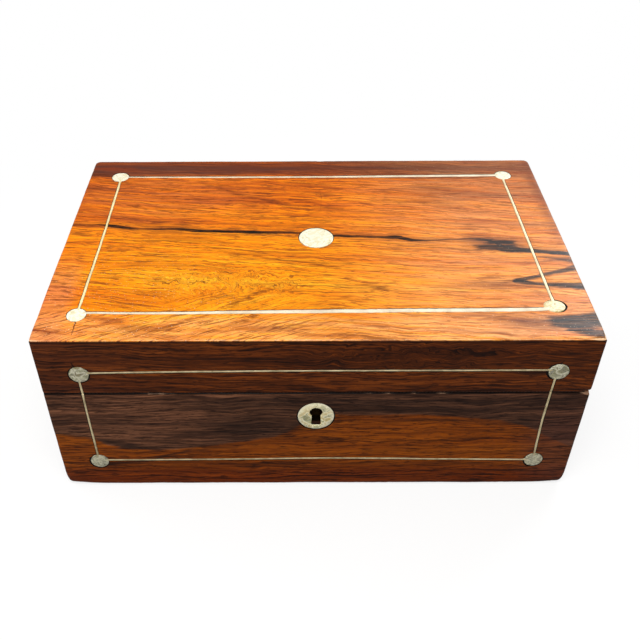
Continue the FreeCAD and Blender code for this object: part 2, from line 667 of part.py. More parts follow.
def lock_plate():
    """Back plate and selvedge in one, with the two grooved guides that the bolt slides in."""
    plate = block(-LOCK_HALF_WIDTH, LOCK_HALF_WIDTH, LOCK_BACK_Y, PLATE_FACE_Y,
                  BASE_HEIGHT - LOCK_HEIGHT, BASE_HEIGHT)
    selvedge = block(-LOCK_HALF_WIDTH, LOCK_HALF_WIDTH, SELVEDGE_FRONT_Y, PLATE_FACE_Y,
                     SELVEDGE_FOOT, BASE_HEIGHT)
    plate = plate.fuse(selvedge)
    groove_foot = BOLT_FOOT_Z - GUIDE_FIT
    half_groove = BOLT_THICK / 2 + GUIDE_FIT
    for x in (-GUIDE_START - GUIDE_LENGTH, GUIDE_START):
        guide = block(x, x + GUIDE_LENGTH, BOLT_Y - half_groove - GUIDE_WALL, LOCK_BACK_Y,
                      groove_foot - GUIDE_HEIGHT, groove_foot + GUIDE_LIP)
        groove = block(x, x + GUIDE_LENGTH, BOLT_Y - half_groove, BOLT_Y + half_groove,
                       groove_foot, groove_foot + GUIDE_LIP + BEYOND)
        plate = plate.fuse(guide.cut(groove))
    slots = []
    for x in STAPLE_XS:
        half, half_width = STAPLE_THICK / 2 + STAPLE_SLOT_FIT, STAPLE_WIDTH / 2 + STAPLE_SLOT_FIT
        slots.append(block(x - half, x + half, BOLT_Y - half_width, BOLT_Y + half_width,
                           SELVEDGE_FOOT - BEYOND, BASE_HEIGHT + BEYOND))
    pin_hole = rod(PIN_R + RIVET_FIT, Vector(0, LOCK_BACK_Y - BEYOND, KEY_Z),
                   Vector(0, PLATE_FACE_Y + BEYOND, KEY_Z))
    return without(plate, pin_hole, *slots, *screw_holes(LOCK_SCREWS, LOCK_SCREW_LENGTH)).removeSplitter()


def lock_cap():
    """The thin cover over the works, open at the back and under the selvedge."""
    cap = block(-CASE_HALF_WIDTH, CASE_HALF_WIDTH, CAP_FACE_Y, LOCK_BACK_Y, CASE_FOOT, SELVEDGE_FOOT)
    hollow = block(-CASE_HALF_WIDTH + CAP_WALL, CASE_HALF_WIDTH - CAP_WALL, CAP_FACE_Y + CAP_WALL,
                   LOCK_BACK_Y + BEYOND, CASE_FOOT + CAP_WALL, SELVEDGE_FOOT + BEYOND)
    return without(cap, hollow, keyhole(0, CAP_FACE_Y - BEYOND, LOCK_BACK_Y))


def lock_bolt():
    """The sliding bolt, drawn back to the left: a bar with a finger for each staple and a talon below."""
    y0, y1 = BOLT_Y - BOLT_THICK / 2, BOLT_Y + BOLT_THICK / 2
    half = STAPLE_THICK / 2
    roots = [x - half - MOVING_FIT - BOLT_THROW for x in STAPLE_XS]
    ends = [x + half + MOVING_FIT for x in STAPLE_XS]
    bolt = block(roots[0] - BOLT_HORN, ends[1] + BOLT_TIP, y0, y1, BOLT_FOOT_Z, BOLT_TOP_Z)
    finger_foot = EYE_Z + (EYE_HEIGHT - FINGER) / 2
    for x, root, end in zip(STAPLE_XS, roots, ends):
        window = block(root, end, y0, y1, BOLT_FOOT_Z + BOLT_BAR, BOLT_TOP_Z)
        tip = x - half - 2 * MOVING_FIT
        finger = block(root, tip, y0, y1, finger_foot, finger_foot + FINGER)
        bolt = bolt.cut(window).fuse(finger)
    talon_x = -BOLT_THROW / 2
    talon = block(talon_x - TALON_WIDTH / 2, talon_x + TALON_WIDTH / 2, y0, y1,
                  BOLT_FOOT_Z, BOLT_FOOT_Z + TALON_HEIGHT)
    return bolt.cut(talon).removeSplitter()


def bolt_spring():
    """A bowed strip on the bolt's top edge that bears on the selvedge and holds the bolt where it is put."""
    middle = (STAPLE_XS[0] + STAPLE_XS[1] - BOLT_THROW) / 2
    half, y = SPRING_SPAN / 2, BOLT_Y - SPRING_WIDTH / 2
    foot = BOLT_TOP_Z
    under = Part.Arc(Vector(middle - half, y, foot), Vector(middle, y, foot + SPRING_RISE),
                     Vector(middle + half, y, foot))
    over = Part.Arc(Vector(middle + half, y, foot + SPRING_THICK),
                    Vector(middle, y, foot + SPRING_RISE + SPRING_THICK),
                    Vector(middle - half, y, foot + SPRING_THICK))
    ends = [
        Part.LineSegment(Vector(middle + half, y, foot), Vector(middle + half, y, foot + SPRING_THICK)),
        Part.LineSegment(Vector(middle - half, y, foot + SPRING_THICK), Vector(middle - half, y, foot)),
    ]
    wire = Part.Wire([under.toShape(), ends[0].toShape(), over.toShape(), ends[1].toShape()])
    return Part.Face(wire).extrude(Vector(0, SPRING_WIDTH, 0))


def lock_ward():
    """A ring round the drill pin, open below, that only a cut key bit can pass."""
    back, front = Vector(0, LOCK_BACK_Y, KEY_Z), Vector(0, LOCK_BACK_Y - WARD_RISE, KEY_Z)
    ring = rod(WARD_R, back, front).cut(rod(WARD_R - WARD_WALL, back, front))
    gate = block(-WARD_GATE / 2, WARD_GATE / 2, front.y, back.y, KEY_Z - WARD_R - BEYOND, KEY_Z)
    return ring.cut(gate)


def staple(x):
    """One staple of the link plate: an eye for the bolt's finger, with a tenon through the plate."""
    half, half_width = STAPLE_THICK / 2, STAPLE_WIDTH / 2
    body = block(x - half, x + half, BOLT_Y - half_width, BOLT_Y + half_width, STAPLE_TIP_Z, LID_BOTTOM)
    feet = [
        edge for edge in body.Edges
        if edge.BoundBox.XLength > half and edge.BoundBox.ZMax < STAPLE_TIP_Z + STAPLE_ROUND / 2
    ]
    body = body.makeFillet(STAPLE_ROUND, feet)
    eye = block(x - half, x + half, BOLT_Y - EYE_WIDTH / 2, BOLT_Y + EYE_WIDTH / 2, EYE_Z, EYE_Z + EYE_HEIGHT)
    tenon = block(x - TENON_THICK / 2, x + TENON_THICK / 2, BOLT_Y - TENON_WIDTH / 2,
                  BOLT_Y + TENON_WIDTH / 2, LID_BOTTOM, LID_BOTTOM + PLATE)
    return body.cut(eye).fuse(tenon).removeSplitter()


def link_plate():
    """The lid's half of the lock: a plate let into the rim, mortised for the staples."""
    plate = block(-LOCK_HALF_WIDTH, LOCK_HALF_WIDTH, SELVEDGE_FRONT_Y, PLATE_FACE_Y,
                  LID_BOTTOM, LID_BOTTOM + PLATE)
    mortises = [
        block(x - TENON_THICK / 2 - RIVET_FIT, x + TENON_THICK / 2 + RIVET_FIT,
              BOLT_Y - TENON_WIDTH / 2 - RIVET_FIT, BOLT_Y + TENON_WIDTH / 2 + RIVET_FIT,
              LID_BOTTOM - BEYOND, LID_BOTTOM + PLATE + BEYOND)
        for x in STAPLE_XS
    ]
    return without(plate, *mortises, *screw_holes(LINK_SCREWS, LOCK_SCREW_LENGTH))


def make_lock():
    """The lock in the base and its link plate in the lid."""
    save("lock_plate", lock_plate())
    save("lock_cap", lock_cap())
    save("lock_bolt", lock_bolt())
    save("bolt_spring", bolt_spring())
    save("lock_ward", lock_ward())
    save("drill_pin", rod(PIN_R, Vector(0, PLATE_FACE_Y, KEY_Z), Vector(0, CAP_FACE_Y, KEY_Z)))
    save("lock_screws", *[screw(head, way, LOCK_SCREW_LENGTH) for head, way in LOCK_SCREWS])
    save("link_plate", link_plate())
    save("link_staples", *[staple(x) for x in STAPLE_XS])
    save("link_screws", *[screw(head, way, LOCK_SCREW_LENGTH) for head, way in LINK_SCREWS])


os.makedirs("parts", exist_ok=True)
make_base()
make_lid()
make_hinges()
make_lock()
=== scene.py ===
"""The look of an antique glove box: figured rosewood veneer, pearl discs, metal lines and quilted silk.

Lengths are in millimetres and are turned into metres as each mesh is made. X runs to the right, Y from the
front to the hinges, and Z up. On a flat side of the box, u runs across and v runs up, or back on the top.
"""

import math

import bmesh
import bpy
from mathutils import Matrix, Vector, noise
from mathutils.geometry import delaunay_2d_cdt


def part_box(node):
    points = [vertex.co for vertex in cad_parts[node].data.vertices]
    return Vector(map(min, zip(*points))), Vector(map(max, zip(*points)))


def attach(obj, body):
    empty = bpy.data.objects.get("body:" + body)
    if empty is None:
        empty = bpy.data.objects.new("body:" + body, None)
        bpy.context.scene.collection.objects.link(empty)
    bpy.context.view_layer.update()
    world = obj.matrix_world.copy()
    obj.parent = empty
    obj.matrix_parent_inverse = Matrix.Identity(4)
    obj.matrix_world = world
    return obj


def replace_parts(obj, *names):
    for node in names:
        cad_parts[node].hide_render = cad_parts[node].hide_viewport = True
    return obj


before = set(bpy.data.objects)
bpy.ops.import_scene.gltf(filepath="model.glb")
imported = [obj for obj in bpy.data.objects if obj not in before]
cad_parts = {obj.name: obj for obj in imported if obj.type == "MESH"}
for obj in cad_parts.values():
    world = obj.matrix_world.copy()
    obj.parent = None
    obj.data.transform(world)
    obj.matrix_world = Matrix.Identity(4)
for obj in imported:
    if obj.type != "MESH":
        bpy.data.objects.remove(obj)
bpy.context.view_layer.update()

MM = 0.001

# ---- Sizes taken from the frame -----------------------------------------------------------------


def node_box(name):
    """Lowest and highest corner of a CAD node, in millimetres."""
    low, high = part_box(name)
    return low / MM, high / MM


TOP_LOW, TOP_HIGH = node_box("lid_top_veneer")
BASE_LOW, BASE_HIGH = node_box("base_front_veneer")
HALF_W, HALF_D = TOP_HIGH.x, TOP_HIGH.y
DEPTH = 2 * HALF_D
VENEER = TOP_HIGH.z - TOP_LOW.z
LID_TOP, LID_FOOT = TOP_HIGH.z, node_box("lid_front_veneer")[0].z
BASE_TOP, BASE_FOOT = BASE_HIGH.z, BASE_LOW.z


def wobble(x, seed, y=0.0):
    """Smooth noise from -1 to 1."""
    return noise.noise(Vector((x, y, seed * 7.31)))


# ---- Worn box surface ---------------------------------------------------------------------------

FRONT_CORNER_R = 0.9
BACK_CORNER_R = 2.9
TOP_ARRIS_R = 0.62
SEAM_ARRIS_R = 0.34
FOOT_ARRIS_R = 0.9
WORN_CORNER_R = 3.0
WORN_CORNER_SPAN = 5.0

# Chips on the arrises: place, how far each reaches, and how deep it bites
CHIPS = [(Vector(place), reach, depth) for place, reach, depth in [
    ((124.5, -80, 99), 4.0, 1.1), ((5, 80, 99), 1.0, 0.9), ((126.5, -80, 66.3), 2.6, 1.6),
    ((125.0, -80, 66.0), 2.2, 0.9), ((-126, -80, 99), 3.0, 0.5), ((-77.0, -80, 66.0), 1.6, 0.55),
    ((-72.0, -80, 66.0), 2.2, 0.7), ((-66.5, -80, 66.0), 1.1, 0.4), ((24.0, -80, 66.2), 1.0, 0.45),
    ((33.0, -80, 66.0), 1.8, 0.5), ((45.0, -80, 66.2), 1.4, 0.45), ((58.0, -80, 66.0), 2.0, 0.5),
    ((-18.0, -80, 98.9), 1.6, 0.3), ((74.0, -80, 98.9), 2.2, 0.35),
]]


def chip_bite(point):
    """How much deeper than usual the arris is worn at a point."""
    bite = 0.0
    for place, reach, depth in CHIPS:
        distance = (point - place).length
        if distance < 3 * reach:
            bite += depth * math.exp(-((distance / reach) ** 2))
    return bite


def plan_radius(x, y, z):
    """Radius of the box's upright corner nearest to a point."""
    if y > 0:
        return BACK_CORNER_R + 0.35 * wobble(z * 0.06, 3, x)
    low = math.exp(-(((z - BASE_FOOT) / WORN_CORNER_SPAN) ** 2))
    return FRONT_CORNER_R + 0.3 * wobble(z * 0.09, 5, x) + (WORN_CORNER_R - FRONT_CORNER_R) * low


def arris_radius(point, plain):
    """Radius of the horizontal arris nearest to a point."""
    x, y, z = point
    uneven = 0.45 * wobble(x * 0.05, 11, y * 0.05) + 0.25 * wobble(x * 0.35, 13, y * 0.35)
    radius = plain * (1 + uneven) + chip_bite(point)
    if z < BASE_FOOT + 1:
        corner = math.hypot(HALF_W - abs(x), HALF_D + y)
        radius += (WORN_CORNER_R - FOOT_ARRIS_R) * math.exp(-((corner / (2 * WORN_CORNER_SPAN)) ** 2))
    return radius


def settle(point, part):
    """The worn surface's point for a point on the sharp box, and how far wear of the arrises has moved it."""
    foot, head, foot_radius, head_radius = part
    x, y, z = point
    sx, sy = math.copysign(1, x), math.copysign(1, y)
    radius = plan_radius(x, y, z)
    dx, dy = abs(x) - (HALF_W - radius), abs(y) - (HALF_D - radius)
    if dx > 0 and dy > 0:
        reach = math.hypot(dx, dy)
        outward = Vector((sx * dx, sy * dy, 0)) / reach
        plan_depth = radius - reach
        if plan_depth < 0:
            x += outward.x * plan_depth
            y += outward.y * plan_depth
            plan_depth = 0.0
    elif dx >= dy:
        outward, plan_depth = Vector((sx, 0, 0)), HALF_W - abs(x)
    else:
        outward, plan_depth = Vector((0, sy, 0)), HALF_D - abs(y)
    rounded = Vector((x, y, z))
    for level, plain, way in ((head, head_radius, 1), (foot, foot_radius, -1)):
        near = (z - level) * way
        arris = arris_radius(Vector((x, y, level)), plain)
        out, up = arris - plan_depth, arris + near
        span = math.hypot(out, up)
        if out > 0 and up > 0 and span > arris:
            out, up = out * arris / span, up * arris / span
            shift = arris - out - plan_depth
            x -= outward.x * shift
            y -= outward.y * shift
            z = level - way * (arris - up)
    moved = Vector((x, y, z))
    return moved, (moved - rounded).length


LID_PART = (LID_FOOT, LID_TOP, SEAM_ARRIS_R, TOP_ARRIS_R)
BASE_PART = (BASE_FOOT, BASE_TOP, FOOT_ARRIS_R, SEAM_ARRIS_R)


class Side:
    """A flat side of the box."""

    def __init__(self, origin, across, along, inward):
        self.origin, self.across, self.along, self.inward = map(Vector, (origin, across, along, inward))

    def at(self, u, v, depth=0.0):
        return self.origin + self.across * u + self.along * v + self.inward * depth

    def depth_of(self, point):
        return (point - self.origin).dot(self.inward)


TOP = Side((0, -HALF_D, LID_TOP), (1, 0, 0), (0, 1, 0), (0, 0, -1))
FRONT = Side((0, -HALF_D, 0), (1, 0, 0), (0, 0, 1), (0, 1, 0))
BACK = Side((0, HALF_D, 0), (1, 0, 0), (0, 0, 1), (0, -1, 0))
LEFT = Side((-HALF_W, 0, 0), (0, 1, 0), (0, 0, 1), (1, 0, 0))
RIGHT = Side((HALF_W, 0, 0), (0, 1, 0), (0, 0, 1), (-1, 0, 0))


# ---- Meshes -------------------------------------------------------------------------------------

def finish_piece(mesh, name, body, materials, sharp):
    """Links a mesh given in millimetres as a piece that rides on a body."""
    mesh.transform(Matrix.Scale(MM, 4))
    for material in materials:
        mesh.materials.append(material)
    mesh.polygons.foreach_set("use_smooth", [True] * len(mesh.polygons))
    mesh.set_sharp_from_angle(angle=math.radians(sharp))
    piece = bpy.data.objects.new(name, mesh)
    bpy.context.scene.collection.objects.link(piece)
    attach(piece, body)
    return piece


def mesh_from(name, points, faces, marks=None, worn=None):
    """A mesh with outward normals; marks are its faces' material indices, and worn its points' wear."""
    mesh = bpy.data.meshes.new(name)
    mesh.from_pydata([tuple(p) for p in points], [], faces)
    if marks:
        mesh.polygons.foreach_set("material_index", marks)
    if worn:
        mesh.attributes.new("worn", "FLOAT", "POINT").data.foreach_set("value", worn)
    tidy = bmesh.new()
    tidy.from_mesh(mesh)
    bmesh.ops.recalc_face_normals(tidy, faces=tidy.faces)
    tidy.to_mesh(mesh)
    tidy.free()
    mesh.update()
    return mesh


def walk(corners, step):
    """A closed loop of points along a polygon's sides, about a step apart."""
    loop = []
    for start, end in zip(corners, corners[1:] + corners[:1]):
        run = math.dist(start, end)
        count = max(1, round(run / step))
        for n in range(count):
            t = n / count
            loop.append((start[0] + (end[0] - start[0]) * t, start[1] + (end[1] - start[1]) * t))
    return loop


def circle(centre, radius, count):
    """Points round a circle."""
    turns = [math.tau * n / count for n in range(count)]
    return [(centre[0] + radius * math.cos(turn), centre[1] + radius * math.sin(turn)) for turn in turns]


def tube(rings, size):
    """Faces of a closed tube: bands between neighbouring rings of points, and its two ends."""
    faces = []
    for r in range(rings - 1):
        for n in range(size):
            m = (n + 1) % size
            faces.append((r * size + n, r * size + m, (r + 1) * size + m, (r + 1) * size + n))
    return faces + [tuple(range(size)), tuple(range((rings - 1) * size, rings * size))]


def curve(before, a, b, after, t):
    """A value a share t of the way from a to b, on a smooth curve through four values."""
    bend, twist = 2 * before - 5 * a + 4 * b - after, 3 * a - before - 3 * b + after
    return 0.5 * (2 * a + (b - before) * t + bend * t * t + twist * t ** 3)


RUNG_STEP = 1.1


class Line:
    """An inlaid metal line. Stops are (u, v, width); trims keep its ends short of the discs."""

    def __init__(self, stops, seed, trims=(0.0, 0.0), gap=0.24, waver=0.07):
        self.stops, self.seed, self.trims, self.gap, self.waver = stops, seed, trims, gap, waver
        self.lengths = [0.0]
        for a, b in zip(stops, stops[1:]):
            self.lengths.append(self.lengths[-1] + math.dist(a[:2], b[:2]))

    def place(self, along):
        """Centre, sideways direction and half width at a distance along the line."""
        n = 0
        while n < len(self.stops) - 2 and along > self.lengths[n + 1]:
            n += 1
        a, b = self.stops[n], self.stops[n + 1]
        before, after = self.stops[max(n - 1, 0)], self.stops[min(n + 2, len(self.stops) - 1)]
        t = (along - self.lengths[n]) / (self.lengths[n + 1] - self.lengths[n])
        u, v, width = (curve(*values, t) for values in zip(before, a, b, after))
        run = Vector((b[0] - a[0], b[1] - a[1])).normalized()
        side = Vector((-run.y, run.x))
        sway = self.waver * (wobble(along * 0.09, self.seed) + 0.5 * wobble(along * 0.4, self.seed + 1))
        rough = 0.14 * wobble(along * 0.3, self.seed + 2) + 0.1 * wobble(along * 1.3, self.seed + 4)
        return Vector((u, v)) + side * sway, side, width / 2 * (1 + rough)

    def rungs(self, start, end, extra):
        """Pairs of points across the line."""
        count = max(2, round((end - start) / RUNG_STEP))
        for n in range(count + 1):
            centre, side, half = self.place(start + (end - start) * n / count)
            yield centre - side * (half + extra), centre + side * (half + extra)

    def loop(self):
        """Outline of the groove, which runs the line's full length."""
        rungs = list(self.rungs(0.0, self.lengths[-1], self.gap))
        return [tuple(low) for low, _ in rungs] + [tuple(high) for _, high in reversed(rungs)]


DISC_SIDES = 56


class Disc:
    """A hand-cut disc of pearl in a round pocket that doesn't quite fit."""

    def __init__(self, centre, radii, seed, gap=0.3, slip=(0.0, 0.0)):
        self.centre, self.radii, self.seed, self.gap, self.slip = centre, radii, seed, gap, slip

    def rim(self, turn, grow=0.0):
        """A point on the disc's edge, or outside it by grow."""
        flat = 1 + 0.012 * wobble(turn * 1.3, self.seed) + 0.008 * wobble(turn * 4, self.seed + 1)
        u = self.centre[0] + (self.radii[0] * flat + grow) * math.cos(turn)
        v = self.centre[1] + (self.radii[1] * flat + grow) * math.sin(turn)
        return u, v

    def loop(self):
        """Outline of the pocket."""
        loop = []
        for n in range(DISC_SIDES):
            turn = math.tau * n / DISC_SIDES
            u, v = self.rim(turn, self.gap * (1 + 0.4 * wobble(turn * 2, self.seed + 5)))
            loop.append((u + self.slip[0], v + self.slip[1]))
        return loop


GROOVE_DEPTH = 0.5
INLAY_DEPTH = 0.48
RING_STEPS = (0.12, 0.3, 0.55, 0.9, 1.4, 2.1, 3.0, 4.5)
EDGE_STEP = 1.7
GRID_STEP = 6.0
WALL_DEPTHS = (0.2, 0.5, 0.8)
SURFACE_WAVE = 0.05
WORN_UNIT = 0.26  # how far wear has moved the surface where the mesh's worn value is 1
MOST_WORN = 1.5
LEAST_BED = 0.3  # least thickness of the sheet where its arrises are rounded off


def sag(u, v):
    """How far a side's old surface has sunk at a place."""
    return SURFACE_WAVE * (0.5 + 0.5 * wobble(u * 0.03, 21, v * 0.04))


def veneer_sheet(name, side, part, corners, grooves, holes, bevel):
    """Mesh of one sheet of veneer with pockets for the inlay, holes through it and worn outer arrises.

    Corners outline it in (u, v). A bevel is (edge v, way, slope): that edge slants as it goes in.
    """
    outline = walk(corners, EDGE_STEP)
    loops = [outline, *grooves, *holes]
    points, faces = [], []
    for loop in loops:
        faces.append(list(range(len(points), len(points) + len(loop))))
        points += loop
    low_u, high_u = min(p[0] for p in corners), max(p[0] for p in corners)
    low_v, high_v = min(p[1] for p in corners), max(p[1] for p in corners)
    for inset in RING_STEPS:
        points += walk(rectangle(low_u + inset, low_v + inset, high_u - inset, high_v - inset), EDGE_STEP)
    columns, rows = round((high_u - low_u) / GRID_STEP), round((high_v - low_v) / GRID_STEP)
    points += [
        (low_u + (high_u - low_u) * i / columns, low_v + (high_v - low_v) * j / rows)
        for i in range(1, columns) for j in range(1, rows)
    ]
    flat, _, cells, _, _, owners = delaunay_2d_cdt([Vector(p) for p in points], [], faces, 0, 1e-4, True)

    def at_edge(spot):
        """Whether a flat point lies on the sheet's outline."""
        for a, b in zip(corners, corners[1:] + corners[:1]):
            start, run = Vector(a), Vector(b) - Vector(a)
            share = (spot - start).dot(run) / run.length_squared
            if -1e-4 < share < 1.0001 and (spot - start - run * share).length < 0.01:
                return True
        return False

    first_hole = 1 + len(grooves)
    skin, floor = [], []
    for cell, owner in zip(cells, owners):
        if 0 not in owner or any(n >= first_hole for n in owner):
            continue
        (floor if any(n >= 1 for n in owner) else skin).append(tuple(cell))

    rim = {n for n, spot in enumerate(flat) if at_edge(spot)}
    mesh_points, worn, levels = [], [], {}

    def vertex(level, index, depth=None):
        """The mesh vertex of a flat point at a level: skin, floor, inner, or a depth down the outer edge."""
        key = (level, index, depth)
        if key in levels:
            return levels[key]
        u, v = flat[index]
        top, moved = settle(side.at(u, v), part)
        top += side.inward * sag(u, v)
        if level == "skin":
            place = top
        elif level == "floor":
            place, moved = top + side.inward * GROOVE_DEPTH, 0.0
        elif level == "edge" or index in rim:
            place, moved = settle(side.at(u, v, VENEER if level == "inner" else depth), part)
        else:
            sunk = max(VENEER, side.depth_of(top) + LEAST_BED)
            place, moved = top + side.inward * (sunk - side.depth_of(top)), 0.0
        if bevel and abs(v - bevel[0]) < 0.01 and level != "skin":
            place = place - side.along * (bevel[1] * bevel[2] * (side.depth_of(place) - side.depth_of(top)))
        levels[key] = len(mesh_points)
        mesh_points.append(place)
        worn.append(min(MOST_WORN, moved / WORN_UNIT))
        return levels[key]

    made, marks = [], []

    def add(face, mark):
        if len(set(face)) > 2:
            made.append(face)
            marks.append(mark)

    uses = {}
    for kind, group in (("skin", skin), ("floor", floor)):
        for cell in group:
            add([vertex(kind, n) for n in cell], 0 if kind == "skin" else 1)
            add([vertex("inner", n) for n in reversed(cell)], 1)
            for a, b in zip(cell, cell[1:] + cell[:1]):
                uses.setdefault((min(a, b), max(a, b)), []).append((kind, a, b))
    for sides in uses.values():
        kind, a, b = sides[0]
        if len(sides) == 2 and sides[1][0] != kind:
            add([vertex("skin", a), vertex("skin", b), vertex("floor", b), vertex("floor", a)], 1)
        elif len(sides) == 1:
            outer = a in rim and b in rim
            top = [vertex(kind, a), vertex(kind, b)]
            if outer and kind == "skin":
                for depth in WALL_DEPTHS:
                    lower = [vertex("edge", a, depth), vertex("edge", b, depth)]
                    add([top[0], top[1], lower[1], lower[0]], 0)
                    top = lower
            add([top[0], top[1], vertex("inner", b), vertex("inner", a)], 0 if outer else 1)
    return mesh_from(name, mesh_points, made, marks, worn)


# The metal strip's section: share of its width, depth, and whether it follows the strip's uneven height
LINE_PROFILE = [(0, INLAY_DEPTH, 0), (0, 0.06, 0), (0.16, -0.03, 1), (0.5, -0.05, 1), (0.84, -0.03, 1),
                (1, 0.06, 0), (1, INLAY_DEPTH, 0)]


def line_mesh(name, side, part, line):
    """The metal strip itself: a soft-shouldered bar bedded in its groove."""
    points = []
    for n, (low, high) in enumerate(line.rungs(line.trims[0], line.lengths[-1] - line.trims[1], 0.0)):
        lift = 0.02 * wobble(n * 0.35, line.seed + 9)
        for share, depth, follows in LINE_PROFILE:
            spot = low.lerp(high, share)
            surface, _ = settle(side.at(*spot), part)
            points.append(surface + side.inward * (sag(*spot) + depth + lift * follows))
    return mesh_from(name, points, tube(len(points) // len(LINE_PROFILE), len(LINE_PROFILE)))


# A disc's rings: share of its radius, and depth
DISC_RINGS = ((1.0, INLAY_DEPTH), (1.0, 0.08), (0.985, 0.02), (0.95, -0.02), (0.7, -0.035), (0.4, -0.04))


def disc_mesh(name, side, disc):
    """One pearl disc, faintly domed, with its edge eased."""
    points = []
    centre = Vector(disc.centre)
    tilt = Vector((wobble(disc.seed, 31), wobble(disc.seed, 33))) * 0.004
    for share, depth in DISC_RINGS:
        for n in range(DISC_SIDES):
            away = (Vector(disc.rim(math.tau * n / DISC_SIDES)) - centre) * share
            points.append(side.at(*(centre + away), sag(*centre) + depth + tilt.dot(away)))
    return mesh_from(name, points, tube(len(DISC_RINGS), DISC_SIDES))


# ---- Materials ----------------------------------------------------------------------------------

def rgb(red, green, blue):
    """A colour given as 8-bit sRGB, as linear light."""
    def linear(value):
        share = value / 255
        return share / 12.92 if share <= 0.04045 else ((share + 0.055) / 1.055) ** 2.4
    return linear(red), linear(green), linear(blue), 1.0


def operation(name, swapped=False):
    """A method that adds a Math node to a number's material, with the number first or, if swapped, last."""
    def method(self, *others):
        return self.paint.math(name, *((*others, self) if swapped else (self, *others)))
    return method


class Wire:
    """A number inside a material; arithmetic on it adds nodes."""

    def __init__(self, paint, socket):
        self.paint, self.socket = paint, socket

    __add__ = __radd__ = operation("ADD")
    __sub__ = operation("SUBTRACT")
    __rsub__ = operation("SUBTRACT", True)
    __mul__ = __rmul__ = operation("MULTIPLY")
    __truediv__ = operation("DIVIDE")
    __abs__ = operation("ABSOLUTE")
    least = operation("MINIMUM")
    most = operation("MAXIMUM")
    to = operation("POWER")

    def step(self, low, high):
        """0 below low and 1 above high, smooth between; falling where low is above high."""
        node = self.paint.add("ShaderNodeMapRange", interpolation_type="SMOOTHSTEP")
        rising = float(low < high)
        for socket, value in zip(node.inputs, (self, min(low, high), max(low, high), 1 - rising, rising)):
            self.paint.feed(socket, value)
        return Wire(self.paint, node.outputs["Result"])


def far(du, dv):
    """Distance from its two parts, inside a material."""
    return (du * du + dv * dv).to(0.5)


